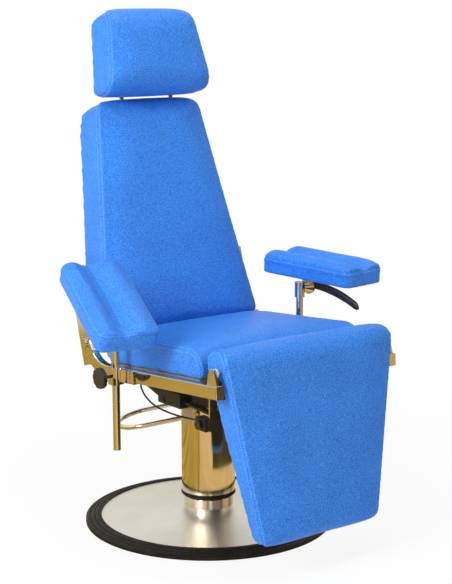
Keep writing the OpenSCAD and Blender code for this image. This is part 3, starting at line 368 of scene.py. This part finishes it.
def rounded(corners, step):
    """Closed outline through corners (along, depth, radius), in even steps, with its outward normals."""
    pts, n = [], len(corners)
    for i, (along, depth, r) in enumerate(corners):
        p = np.array([along, depth], float)
        before = unit(np.array(corners[i - 1][:2], float) - p)
        after = unit(np.array(corners[(i + 1) % n][:2], float) - p)
        half = math.acos(np.clip(before @ after, -1, 1)) / 2
        if r <= 0:
            pts.append(p)
            continue
        centre = p + unit(before + after) * r / math.sin(half)
        s, e = (p + d * r / math.tan(half) - centre for d in (before, after))
        a0 = math.atan2(s[1], s[0])
        da = (math.atan2(e[1], e[0]) - a0 + math.pi) % (2 * math.pi) - math.pi
        k = max(3, int(abs(da) * r / step * 2))
        turns = [a0 + da * j / k for j in range(k + 1)]
        pts += [centre + r * np.array([math.cos(a), math.sin(a)]) for a in turns]
    pts = np.array(pts)
    loop = np.vstack([pts, pts[:1]])
    run = np.concatenate([[0], np.cumsum(np.linalg.norm(np.diff(loop, axis=0), axis=1))])
    at = np.linspace(0, run[-1], max(24, int(run[-1] / step)), endpoint=False)
    even = np.stack([np.interp(at, run, loop[:, k]) for k in (0, 1)], axis=1)
    along = np.roll(even, -1, axis=0) - np.roll(even, 1, axis=0)
    side = np.stack([along[:, 1], -along[:, 0]], axis=1)
    x, y = even.T
    area = 0.5 * np.sum(x * np.roll(y, -1) - y * np.roll(x, -1))
    return even, unit(side) * (1 if area > 0 else -1)


def boxed(name, corners, width, crown, end_crown, power, at, pull=0.0, step=6.0, rows=61):
    """Closed cushion: a band round the side outline, crowned across its width, and two side panels."""
    line, out = rounded(corners, step)
    low, high = line[:, 0].min(), line[:, 0].max()
    half = np.array([width(a) for a in line[:, 0]])
    half = half - pull * np.sin(math.pi * (line[:, 0] - low) / (high - low))
    front = np.clip(out[:, 1], 0, None) ** 0.8
    ends = out[:, 0] ** 2 * np.where(out[:, 1] > -0.3, 1, 0)
    grid = []
    for u in np.sin(np.linspace(-1, 1, rows) * math.pi / 2):
        lift = math.sqrt(max(0.0, 1 - abs(u) ** power))
        d = lift * (crown * front + end_crown * ends * (1 - front))
        grid.append(np.stack([u * half, line[:, 0] + out[:, 0] * d, line[:, 1] + out[:, 1] * d], axis=1))
    n = len(line)
    ob = add_object(name, placed(np.vstack(grid), at), tube(rows, n), [VINYL, THREAD])
    seams = []
    for edge in (grid[0], grid[-1]):
        rear = line[:, 1].min() + 2.5
        keep = line[:, 1] > rear
        start = int(np.argmin(line[:, 1] + np.where(keep, 1e6, 0)))
        order = [(start + k) % n for k in range(n)]
        order = [k for k in order if keep[k]]
        seams.append(placed(edge[order], at))
    return ob, seams


def remesh(ob, voxel):
    mod = ob.modifiers.new("Even", "REMESH")
    mod.mode, mod.voxel_size, mod.adaptivity = "VOXEL", voxel * MM, 0
    mod.use_smooth_shade = True
    even = ob.modifiers.new("Roll", "SMOOTH")
    even.factor, even.iterations = 0.5, 3
    bake(ob)


def near(points, path, chunk=4000):
    """Distance from each point to the nearest point of a path, and that point's number."""
    best, which = np.empty(len(points)), np.empty(len(points), int)
    for k in range(0, len(points), chunk):
        d = np.linalg.norm(points[k:k + chunk, None] - path[None], axis=2)
        which[k:k + chunk] = d.argmin(axis=1)
        best[k:k + chunk] = d.min(axis=1)
    return best, which


def dense(path, step):
    run = np.concatenate([[0], np.cumsum(np.linalg.norm(np.diff(path, axis=0), axis=1))])
    at = np.linspace(0, run[-1], max(2, int(run[-1] / (step * MM))))
    return np.stack([np.interp(at, run, path[:, k]) for k in range(3)], axis=1)


SEAM_PINNED, REAR_PINNED = 7, 3
CLOTH_FRAMES = 20


def swell(ob, seams, rear, pressure, cap):
    """Cloth simulation: the covers fill out between their seams, by no more than the cap."""
    me = ob.data
    start = coords(me)
    pins = np.zeros(len(start), bool)
    for path in seams:
        pins |= near(start, dense(path, 4))[0] < SEAM_PINNED * MM
    point, way = rear
    pins |= (start - point) @ way < REAR_PINNED * MM
    group = ob.vertex_groups.new(name="pins")
    group.add([int(k) for k in np.nonzero(pins)[0]], 1.0, "REPLACE")
    mod = ob.modifiers.new("Fill", "CLOTH")
    s = mod.settings
    s.quality, s.mass = 4, 0.3
    s.tension_stiffness = s.compression_stiffness = 12
    s.shear_stiffness, s.bending_stiffness = 5, 0.8
    s.use_pressure, s.uniform_pressure_force = True, pressure
    s.effector_weights.gravity = 0
    s.vertex_group_mass = "pins"
    mod.point_cache.frame_start, mod.point_cache.frame_end = 1, CLOTH_FRAMES
    for f in range(1, CLOTH_FRAMES + 1):
        scene.frame_set(f)
    dg = bpy.context.evaluated_depsgraph_get()
    held = ob.evaluated_get(dg)
    result = held.to_mesh()
    moved = coords(result) - start
    held.to_mesh_clear()
    ob.modifiers.clear()
    ob.vertex_groups.clear()
    size = np.linalg.norm(moved, axis=1, keepdims=True)
    moved *= cap * MM * np.tanh(size / (cap * MM)) / np.maximum(size, 1e-9)
    scene.frame_set(1)
    return moved
    return np.zeros_like(start)


PUCKER_PITCH, PUCKER_DRIFT, PUCKER_REACH, PUCKER_DEPTH = 17, 41, 11, 0.3


def cushion(shape, body, nodes, voxel, pressure, cap, sideways, seam_rows):
    """Remesh, cloth fill, one subdivision, then the seams with their stitches."""
    ob, seams, rear = shape
    remesh(ob, voxel)
    start = coords(ob.data)
    moved = swell(ob, seams, rear, pressure, cap)
    across = np.array(sideways, float)
    moved -= (moved @ across)[:, None] * across * 0.8
    set_coords(ob.data, start + moved)
    even = ob.modifiers.new("Relax", "SMOOTH")
    even.factor, even.iterations = 0.5, 2
    fine = ob.modifiers.new("Fine", "SUBSURF")
    fine.levels = fine.render_levels = 1
    bake(ob)
    me = ob.data
    base = coords(me)
    normals = np.empty(len(me.vertices) * 3)
    me.vertex_normals.foreach_get("vector", normals)
    normals = normals.reshape(-1, 3)
    for k, path in enumerate(seams):
        fine_path = dense(path, 2)
        d, which = near(base, fine_path)
        d = d / MM
        run = which * 2.0
        wave = np.sin(run * 2 * math.pi / PUCKER_PITCH + 2.1 * np.sin(run / PUCKER_DRIFT + k))
        pucker = wave * np.exp(-(d / PUCKER_REACH) ** 2) * PUCKER_DEPTH
        valley = -1.9 * np.exp(-(d / 4.4) ** 2) + 0.8 * np.exp(-((d - 8.5) / 4.5) ** 2)
        base = base + normals * ((valley + pucker * np.clip(d / 4, 0, 1)) * MM)[:, None]
    set_coords(me, base)
    sew(ob, seams, seam_rows)
    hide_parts(*nodes)
    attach(ob, body)
    return ob


# Section of the sewn seam: offset across it and rise over the cover
TAPE = ((-4.2, -0.5), (-3.0, 0.35), (-1.7, 0.65), (-0.7, 0.25), (0, -0.8),
        (0.7, 0.25), (1.7, 0.65), (3.0, 0.35), (4.2, -0.5))
STITCH_PITCH = 6


def frames_on(bvh, path, offset):
    """Surface points beside a path at an offset across it, with normal and direction of the path."""
    way = unit(np.gradient(path, axis=0))
    spots = []
    for p, t in zip(path, way):
        _, n, _, _ = bvh.find_nearest(Vector(p))
        side = Vector(t).cross(n)
        q, m, _, _ = bvh.find_nearest(Vector(p) + side * offset * MM)
        spots.append((q, m, Vector(t)))
    return spots


def sew(ob, seams, rows):
    """Joins the sewn seam and its stitches onto a cushion."""
    bvh = BVHTree.FromPolygons([v.co for v in ob.data.vertices],
                               [tuple(p.vertices) for p in ob.data.polygons])
    verts, faces, kinds = [], [], []
    for path in seams:
        line = dense(path, 4)
        strips = [frames_on(bvh, line, off) for off, _ in TAPE]
        base, width = len(verts), len(TAPE)
        for i in range(len(line)):
            for j, (_, rise) in enumerate(TAPE):
                q, m, _ = strips[j][i]
                verts.append(q + m * rise * MM)
        for i in range(len(line) - 1):
            for j in range(width - 1):
                a = base + i * width + j
                faces.append((a, a + 1, a + width + 1, a + width))
                kinds.append(0)
        for off in rows:
            for q, m, t in frames_on(bvh, dense(path, STITCH_PITCH), off)[1:-1]:
                t = (t - m * t.dot(m)).normalized()
                add_stitch(verts, faces, kinds, q + m * 0.35 * MM, t, m)
    me = bpy.data.meshes.new(ob.name + "_sewing")
    me.from_pydata([tuple(v) for v in verts], [], faces)
    for m in ob.data.materials:
        me.materials.append(m)
    me.polygons.foreach_set("material_index", kinds)
    me.shade_smooth()
    bm = bmesh.new()
    bm.from_mesh(ob.data)
    bm.from_mesh(me)
    bm.to_mesh(ob.data)
    bm.free()
    bpy.data.meshes.remove(me)


def add_stitch(verts, faces, kinds, centre, along, up, half=2.0, r=0.58):
    side = along.cross(up)
    base = len(verts)
    rings = ((-half, 0.25), (-half * 0.7, 0.85), (0, 1.0), (half * 0.7, 0.85), (half, 0.25))
    for s, k in rings:
        for j in range(6):
            a = math.pi * j / 3
            dip = -0.35 * MM * (s / half) ** 2
            bulge = (side * math.cos(a) + up * math.sin(a) * 0.8) * r * k * MM
            verts.append(centre + along * s * MM + bulge + up * dip)
    for i in range(len(rings) - 1):
        for j in range(6):
            a, b = base + i * 6 + j, base + i * 6 + (j + 1) % 6
            faces.append((a, b, b + 6, a + 6))
            kinds.append(1)
    faces.append(tuple(base + j for j in range(5, -1, -1)))
    faces.append(tuple(base + (len(rings) - 1) * 6 + j for j in range(6)))
    kinds.extend((1, 1))


def plane_of(at, depth):
    """The plane at a depth in a laid frame, as a point and its forward direction, in metres."""
    p0, p1 = placed([(0, 0, depth), (0, 0, depth + 1000)], at)
    return p0, unit(p1 - p0)


# ---------------------------------------------------------------- cushions
def line_between(a0, w0, a1, w1):
    return lambda a: w0 + (w1 - w0) * (a - a0) / (a1 - a0)


def rounded_ends(width, low, high, r_low, r_high):
    """A half width with round corners at its two ends."""
    def at(a):
        w = width(a)
        for d, r in ((a - low, r_low), (high - a, r_high)):
            if d < r:
                w -= 0.8 * (r - math.sqrt(max(0.0, r * r - (r - max(d, 0.0)) ** 2)))
        return w
    return at


BACK_LAID = BACK @ LAID
LEG_LAID = LEG @ LAID
SEAT_LAID = RAILS

# side outlines: (along, depth, radius) from the low rear corner, round by the rear to the front
back_side = [(19, -28, 14), (590, -28, 30), (590, 63, 24), (19, 63, 16)]
head_side = [(604, 52, 16), (808, 52, 22), (808, 140, 46), (604, 140, 44)]
seat_side = [(76, 15.5, 8), (76, 79.5, 17), (-302, 79.5, 46), (-302, 15.5, 8)]
leg_side = [(-402, -7, 12), (0, -43, 60), (46, -43, 26), (46, 31, 34), (-402, 31, 17)]
LEG_LOW, LEG_TOP = -402, 46
LEG_HALF_LOW, LEG_HALF_PIVOT, LEG_HALF_TOP = 173, 244, 251


def leg_width(a):
    if a < 0:
        return LEG_HALF_LOW + (LEG_HALF_PIVOT - LEG_HALF_LOW) * (a - LEG_LOW) / -LEG_LOW
    return LEG_HALF_PIVOT + (LEG_HALF_TOP - LEG_HALF_PIVOT) * a / LEG_TOP


def make_cushion(name, side, width, crown, end_crown, power, at, body, nodes, pull, rear_depth,
                 voxel=6.0, pressure=4.0, cap=10.0, sideways=(1, 0, 0), rows=(-5.2, 5.2)):
    ob, seams = boxed(name, side, width, crown, end_crown, power, at, pull)
    return cushion((ob, seams, plane_of(at, rear_depth)), body, nodes, voxel, pressure, cap,
                   sideways, rows)


back_width = rounded_ends(line_between(19, 236, 590, 154), 19, 590, 16, 26)
head_width = rounded_ends(line_between(604, 155, 808, 126), 604, 808, 12, 24)
make_cushion("back_upholstery", back_side, back_width, 20, 4, 6.5, BACK_LAID,
             "backrest", ["back_cushion"], 1.5, -28, cap=8)
make_cushion("head_upholstery", head_side, head_width, 17, 5, 5, BACK_LAID,
             "headrest", ["head_cushion"], 1.0, 52, voxel=5.0, cap=7)
make_cushion("seat_upholstery", seat_side, lambda a: 242, 12, 2, 6, SEAT_LAID,
             "seat_frame", ["seat_cushion"], 1.5, 15.5, cap=7)
make_cushion("leg_upholstery", leg_side, rounded_ends(leg_width, LEG_LOW, LEG_TOP, 14, 26),
             15, 3, 6.5, LEG_LAID,
             "leg_rest", ["leg_cushion"], 0, -43, cap=8)


def pad_section(w, wall, crown, dip, rise):
    """Half of an arm pad's section from the middle of its floor to the middle of its trough."""
    pts = [(0, 0), (w * 0.5, 0), (w - 5, 0), (w - 1.5, 1.5), (w - 0.3, 5), (w - 1.2, wall * 0.5),
           (w - 0.8, wall - 5), (w, wall - 2.5), (w + 1.2, wall - 0.8), (w + 1.0, wall + 0.8)]
    for k in range(1, 15):
        u = 1 - k / 14
        p = u ** 1.2
        pts.append((w * u, wall + rise * ((crown + dip) * math.sin(math.pi * p) - dip * (1 - u))))
    return pts


def make_pad(side, name):
    flat = arm_frame(side) @ shift(36.5, 0, 29)
    low, high, wall = -102.0, 186.0, 41
    wide = 71.0 if side > 0 else 76.0
    front_corner, rear_corner = 22.0, 11.0
    trough = 0.0 if side > 0 else 11.0
    places = [(low + high) / 2 - (high - low) / 2 * math.cos(math.pi * k / 48) for k in range(49)]
    grid = []
    for a in places:
        d = min(a - low, high - a)
        corner = front_corner if a > 0 else rear_corner
        fall = 1 if d >= corner else math.sqrt(max(0, 1 - (1 - d / corner) ** 2))
        end = 62.0 if a > 0 else 30.0
        rise = 1 if d >= end else math.sqrt(max(0, 1 - (1 - d / end) ** 2))
        w = wide - corner * (1 - fall)
        half = pad_section(w, wall, 14.5, 7.5, 0.22 + 0.78 * rise)
        whole = half + [(-x, q) for x, q in half[::-1][1:-1]]
        grid.append([(x + trough * (1 - min(1.0, (x / w) ** 2)) if q > wall else x, a, q) for x, q in whole])
    n = len(grid[0])
    # along is forward here and depth is up
    pts = [(x, -a, q) for ring in grid for x, a, q in ring]
    ob = add_object(name, placed(pts, flat), tube(len(grid), n), [VINYL, THREAD])
    rim = [(x, -a, wall) for x, a in pad_rim(low, high, wide, front_corner, rear_corner)]
    seams = [placed(rim, flat)]
    p0, p1 = placed([(0, 0, 0), (0, 0, 1000)], flat)
    across = unit(np.array(flat)[:3, 0])
    return cushion((ob, seams, (p0, unit(p1 - p0))), "arm_rest_" + SIDE[side],
                   ["arm_pad_" + SIDE[side]], 4.0, 3.5, 4.0, across, (-4.6,))


def pad_rim(low, high, w, front, rear):
    pts = []
    for r, cx, ca, a0 in ((front, w - front, high - front, 0), (front, front - w, high - front, 90),
                          (rear, rear - w, low + rear, 180), (rear, w - rear, low + rear, 270)):
        for k in range(9):
            a = math.radians(a0 + 90 * k / 8)
            pts.append((cx + r * math.cos(a), ca + r * math.sin(a)))
    return pts + pts[:1]


for s in (1, -1):
    make_pad(s, "arm_upholstery_" + SIDE[s])


# ---------------------------------------------------------------- covered boards
def covered_board(name, corners, y0, t, at, body, node, screws):
    """Thin covered panel with rolled edges and dome screws; corners are (x, z, radius) in its own frame."""
    line, out = rounded(corners, 8)
    rings = []
    for inset, y in ((0, 0.2), (0, t * 0.35), (1.2, t * 0.72), (4, t * 0.93), (9, t), (10, t)):
        edge = line - out * inset
        rings.append(np.stack([edge[:, 0], np.full(len(line), y0 + y), edge[:, 1]], axis=1))
    ob = add_object(name, placed(np.vstack(rings), at), tube(len(rings), len(line)), [LINING, PLASTIC])
    for face in ob.data.polygons:
        face.use_smooth = len(face.vertices) == 4
    bm = bmesh.new()
    bm.from_mesh(ob.data)
    top, n = y0 + t + 0.2, 16
    prof = ((0, 2.6), (2.0, 2.5), (4.2, 1.9), (5.6, 0.9), (6.0, 0.0), (6.0, -1.0))
    turns = [2 * math.pi * k / n for k in range(n)]
    for x, z in screws:
        grid = []
        for r, h in prof[1:]:
            spots = placed([(x + r * math.cos(a), top + h, z + r * math.sin(a)) for a in turns], at)
            grid.append([bm.verts.new(Vector(spot)) for spot in spots])
        cap = bm.verts.new(Vector(placed([(x, top + prof[0][1], z)], at)[0]))
        for k in range(n):
            m = (k + 1) % n
            bm.faces.new((cap, grid[0][k], grid[0][m]))
            for i in range(len(grid) - 1):
                bm.faces.new((grid[i][k], grid[i + 1][k], grid[i + 1][m], grid[i][m]))
        bm.faces.new(grid[-1])
        for f in bm.faces[-(n * len(grid) + 1):]:
            f.material_index = 1
            f.smooth = True
    bmesh.ops.recalc_face_normals(bm, faces=bm.faces)
    bm.to_mesh(ob.data)
    bm.free()
    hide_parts(node)
    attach(ob, body)
    return ob


covered_board("back_lining", [(-227, 27, 14), (-146, 557, 22), (146, 557, 22), (227, 27, 14)],
              28.3, 12, BACK, "backrest", "back_board",
              [(s * x, z) for s in (-1, 1) for x, z in ((195, 60), (172, 210), (150, 360), (128, 510))])
covered_board("head_lining", [(-129, 606, 14), (-115, 783, 20), (115, 783, 20), (129, 606, 14)],
              -51.7, 7, BACK, "headrest", "head_board",
              [(s * x, z) for s in (-1, 1) for x, z in ((95, 640), (88, 760))])
covered_board("leg_lining", [(-165, -380, 14), (-224, 16, 18), (224, 16, 18), (165, -380, 14)], 0, 12,
              LEG @ shift(0, 43.3, 0) @ turn("X", -5.117), "leg_rest", "leg_board",
              [(s * x, z) for s in (-1, 1) for x, z in ((150, -340), (172, -190), (190, -40))])


# ---------------------------------------------------------------- arm levers
def make_lever(side):
    """Curved paddle: flat oval sections along a drooping line, with a round boss at its pivot."""
    wide, length, hub_x, hub_t = 13.5, 158.0, 38.3, 18.0
    at = arm_frame(side) @ Matrix.Scale(1 if side > 0 else -1, 4, (0, 1, 0))
    drop, tip = 33.75, 9.72
    rows, n = [], 20
    steps = 30
    for k in range(steps + 1):
        t = k / steps
        top = wide * math.sin(math.radians(90 * t + 40)) * (1 - 0.1 * t) - drop * t * t
        low = -wide * 0.55 - (drop + tip - wide * 0.55) * t * t
        end = math.sqrt(max(0.0, 1 - max(0.0, (t - 0.93) / 0.07) ** 2)) if t > 0.93 else 1
        mid, half = (top + low) / 2, (top - low) / 2 * (0.35 + 0.65 * end)
        thick = (7.0 - 2.2 * t) * (0.45 + 0.55 * end)
        ring = []
        for j in range(n):
            a = 2 * math.pi * j / n
            c, s = math.cos(a), math.sin(a)
            ring.append((hub_x + hub_t / 2 + thick * math.copysign(abs(c) ** 0.55, c), -length * t,
                         mid + half * math.copysign(abs(s) ** 0.7, s)))
        rows.append(ring)
    verts = [p for ring in rows for p in ring]
    faces = tube(len(rows), n)
    boss = [(0, 0), (0, 5.4), (0.2, 9.6), (0.6, 11.2), (1.6, 12.0), (hub_t - 1.6, 12.0), (hub_t - 0.6, 11.2),
            (hub_t - 0.2, 9.6), (hub_t - 0.2, 6.2), (hub_t - 1.4, 5.6), (hub_t - 1.4, 0)]
    base, m = len(verts), 40
    for x, r in boss[1:-1]:
        turns = [2 * math.pi * j / m for j in range(m)]
        verts += [(hub_x + x, r * math.cos(a), r * math.sin(a)) for a in turns]
    faces += tube(len(boss) - 2, m, base)
    name = "arm_lever_" + SIDE[side]
    ob = add_object("paddle_" + SIDE[side], placed(verts, at), faces, [PLASTIC])
    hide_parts(name)
    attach(ob, "arm_handle_" + SIDE[side])


for s in (1, -1):
    make_lever(s)


# ---------------------------------------------------------------- release cable
ROUTE = [(-257, -84, 403.5), (-257, -85, 394), (-251, -95, 373), (-236, -112, 352), (-213, -130, 337),
         (-188, -146, 326), (-166, -158, 319), (-158, -169, 317), (-157, -177.7, 316)]


def smooth_route(points, per_run):
    p = np.array(points, float)
    spots = []
    for u in np.linspace(0, len(p) - 1, (len(p) - 1) * per_run + 1):
        i = min(int(u), len(p) - 2)
        f = u - i
        a, b, c, d = p[max(i - 1, 0)], p[i], p[i + 1], p[min(i + 2, len(p) - 1)]
        spots.append(b + f * (c - a) / 2 + f * f * (2 * a - 5 * b + 4 * c - d) / 2
                     + f ** 3 * (3 * (b - c) + d - a) / 2)
    return np.array(spots) * MM


spots = smooth_route(ROUTE, 5)
cable_curve = bpy.data.curves.new("release_cable_sheath", "CURVE")
cable_curve.dimensions = "3D"
cable_curve.bevel_depth, cable_curve.bevel_resolution, cable_curve.use_fill_caps = 2.2 * MM, 5, True
run = cable_curve.splines.new("POLY")
run.points.add(len(spots) - 1)
for point, spot in zip(run.points, spots):
    point.co = (*spot, 1)
cable = bpy.data.objects.new("release_sheath", cable_curve)
scene.collection.objects.link(cable)
cable_curve.materials.append(CABLE)
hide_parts("release_cable")
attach(cable, "seat_frame")


# ---------------------------------------------------------------- stage: floor, room seen in the metal, light
def stage_mesh(name, verts, faces, mat, shown=True):
    me = bpy.data.meshes.new(name)
    me.from_pydata(verts, [], faces)
    me.materials.append(mat)
    ob = bpy.data.objects.new(name, me)
    scene.collection.objects.link(ob)
    if not shown:
        ob.visible_camera = ob.visible_diffuse = ob.visible_shadow = False
        ob.visible_transmission = ob.visible_volume_scatter = False
    return ob


def light_path_mix(mat, lit, glow, share):
    """Camera rays see a share of plain white light over the lit surface, all of it far from the chair."""
    n = Nodes(mat)
    path = n.add("LightPath")
    scale = n.add("Math", operation="MULTIPLY")
    n.join(path.outputs["Is Camera Ray"], scale.inputs[0])
    away = n.add("VectorMath", operation="LENGTH")
    n.join(n.place(), away.inputs[0])
    n.join(n.span(away.outputs["Value"], share, 1.0, 0.5, 1.5), scale.inputs[1])
    mix = n.add("MixShader")
    n.join(scale.outputs[0], mix.inputs[0])
    n.join(lit, mix.inputs[1])
    n.join(glow, mix.inputs[2])
    out = next(x for x in mat.node_tree.nodes if x.type == "OUTPUT_MATERIAL")
    n.join(mix.outputs[0], out.inputs[0])


FLOOR, floor_shader = material("pale_floor")
floor_shader.inputs["Base Color"].default_value = (0.97, 0.97, 0.97, 1)
floor_shader.inputs["Roughness"].default_value = 0.9
floor_shader.inputs["Specular IOR Level"].default_value = 0.1
white = Nodes(FLOOR).add("Emission")
white.inputs[0].default_value = (1, 1, 1, 1)
light_path_mix(FLOOR, floor_shader.outputs[0], white.outputs[0], 0.86)
FLOOR_HALF, FLOOR_Z = 40, -0.0005
corners = ((-1, -1), (1, -1), (1, 1), (-1, 1))
stage_mesh("floor", [(x * FLOOR_HALF, y * FLOOR_HALF, FLOOR_Z) for x, y in corners], [(0, 1, 2, 3)], FLOOR)


def card_material(name, low, high, stretch, scale, strength=1.0):
    m = bpy.data.materials.new(name)
    m.use_nodes = True
    m.node_tree.nodes.clear()
    n = Nodes(m)
    out = n.add("OutputMaterial")
    glow = n.add("Emission")
    glow.inputs[1].default_value = strength
    grain = n.noise(scale, 4, 0.6, n.stretched(stretch))
    n.join(n.ramp(grain, (0.35, low), (0.65, high)), glow.inputs[0])
    n.join(glow.outputs[0], out.inputs[0])
    return m


PLANKS = card_material("room_floor", (0.36, 0.24, 0.045), (0.64, 0.47, 0.12), (1, 14, 1), 0.9)
TAN = card_material("room_tan", (0.50, 0.33, 0.12), (0.70, 0.50, 0.24), (1, 1, 6), 1.5)
PEACH = card_material("room_peach", (0.66, 0.47, 0.20), (0.82, 0.61, 0.32), (1, 9, 1), 1.1)
DARK = card_material("room_dark", (0.035, 0.028, 0.012), (0.09, 0.07, 0.03), (1, 1, 3), 1.0)
PALE = card_material("room_pale", (0.66, 0.62, 0.50), (0.80, 0.76, 0.66), (1, 1, 1), 0.6)
BRIGHT = card_material("room_bright", (0.95, 0.93, 0.88), (1, 1, 1), (1, 1, 1), 1.0, 1.25)


def wall(name, start, end, low, high, radius, mat):
    """Curved card round the chair between two azimuths in degrees; 0 is straight behind it."""
    n = max(2, int(abs(end - start) / 6))
    verts = []
    for k in range(n + 1):
        a = math.radians(start + (end - start) * k / n)
        verts += [(radius * math.sin(a), radius * math.cos(a), z) for z in (low, high)]
    faces = [(2 * k, 2 * k + 2, 2 * k + 3, 2 * k + 1) for k in range(n)]
    stage_mesh(name, verts, faces, mat, False)


def sector(name, start, end, inner, outer, mat, z=0.0006):
    """Part of the room's floor between two azimuths and two radii, seen in the metal only."""
    n = max(2, int(abs(end - start) / 5))
    verts = []
    for k in range(n + 1):
        a = math.radians(start + (end - start) * k / n)
        verts += [(r * math.sin(a), r * math.cos(a), z) for r in (inner, outer)]
    stage_mesh(name, verts, [(2 * k, 2 * k + 2, 2 * k + 3, 2 * k + 1) for k in range(n)], mat, False)


MAT_R, RUG_R, WALL_R, ROOM_R = 0.52, 2.3, 2.6, 3.0
for k, (start, end, inner, outer, mat) in enumerate((
        (252, 398, 0.0, ROOM_R, PLANKS), (199, 252, 0.0, ROOM_R, PEACH), (72, 199, MAT_R, RUG_R, DARK),
        (72, 199, 0.0, MAT_R, PEACH), (72, 199, RUG_R, ROOM_R, TAN), (38, 72, 0.0, ROOM_R, TAN))):
    sector(f"room_floor_{k}", start, end, inner, outer, mat)
for k, (start, end, low, high, mat) in enumerate((
        (-25, 70, 0.0, 1.7, PALE), (70, 95, 0.0, 1.5, TAN), (95, 112, 0.0, 1.9, DARK),
        (112, 150, 0.0, 1.6, TAN), (150, 162, 0.0, 2.0, DARK), (162, 200, 0.0, 0.9, TAN),
        (200, 212, 0.0, 2.2, BRIGHT), (212, 226, 0.0, 1.2, DARK), (226, 262, 0.0, 1.4, TAN),
        (262, 274, 0.0, 2.0, DARK), (274, 300, 0.0, 1.1, TAN), (300, 335, 0.0, 1.5, PALE))):
    wall(f"room_wall_{k}", start, end, low, high, WALL_R, mat)


def lamp(name, place, aim, width, height, power, colour=(1, 1, 1)):
    data = bpy.data.lights.new(name, "AREA")
    data.shape, data.size, data.size_y = "RECTANGLE", width, height
    data.energy, data.color = power, colour
    ob = bpy.data.objects.new(name, data)
    ob.location = place
    ob.rotation_euler = (Vector(aim) - Vector(place)).to_track_quat("-Z", "Y").to_euler()
    scene.collection.objects.link(ob)


MIDDLE = (0, 0, 0.62)
lamp("key", (-2.8, -0.5, 1.8), MIDDLE, 1.2, 1.1, 68)
lamp("fill", (1.2, -3.2, 1.9), MIDDLE, 2.2, 1.6, 13)
lamp("top", (0.0, -0.2, 3.2), MIDDLE, 2.0, 2.0, 30)

world = bpy.data.worlds.new("studio")
scene.world = world
world.use_nodes = True
world.node_tree.nodes.clear()
wn = Nodes(world)
w_out = wn.add("OutputWorld")
seen, unseen = wn.add("Background"), wn.add("Background")
seen.inputs[0].default_value = (1, 1, 1, 1)
seen.inputs[1].default_value = 1.0
unseen.inputs[0].default_value = (1, 1, 1, 1)
unseen.inputs[1].default_value = 0.46
path = wn.add("LightPath")
first = wn.add("Math", operation="MAXIMUM")
both = wn.add("Math", operation="MAXIMUM")
wn.join(path.outputs["Is Camera Ray"], first.inputs[0])
wn.join(path.outputs["Is Glossy Ray"], first.inputs[1])
wn.join(first.outputs[0], both.inputs[0])
wn.join(path.outputs["Is Transmission Ray"], both.inputs[1])
w_mix = wn.add("MixShader")
wn.join(both.outputs[0], w_mix.inputs[0])
wn.join(unseen.outputs[0], w_mix.inputs[1])
wn.join(seen.outputs[0], w_mix.inputs[2])
wn.join(w_mix.outputs[0], w_out.inputs[0])

# ---------------------------------------------------------------- camera: fitted to the photograph, 452 x 584
WIDTH, HEIGHT = 452, 584
FOCAL_PX, CENTRE = 1469.52, (200.41, 293.35)
EYE, TARGET, ROLL = Vector((-2.12085, -2.85488, 1.25030)), Vector((-0.0136, 0.0100, 0.57566)), -0.41
SENSOR = 36
cam_data = bpy.data.cameras.new("camera")
cam_data.sensor_width = cam_data.sensor_height = SENSOR
cam_data.sensor_fit = "AUTO"
cam_data.lens = FOCAL_PX * SENSOR / HEIGHT
cam_data.shift_x = (WIDTH / 2 - CENTRE[0]) / HEIGHT
cam_data.shift_y = (CENTRE[1] - HEIGHT / 2) / HEIGHT
cam_data.clip_end = 200
camera = bpy.data.objects.new("camera", cam_data)
aim = (TARGET - EYE).to_track_quat("-Z", "Y").to_matrix().to_4x4()
camera.matrix_world = shift(*EYE) @ aim @ turn("Z", ROLL)
scene.collection.objects.link(camera)
scene.camera = camera
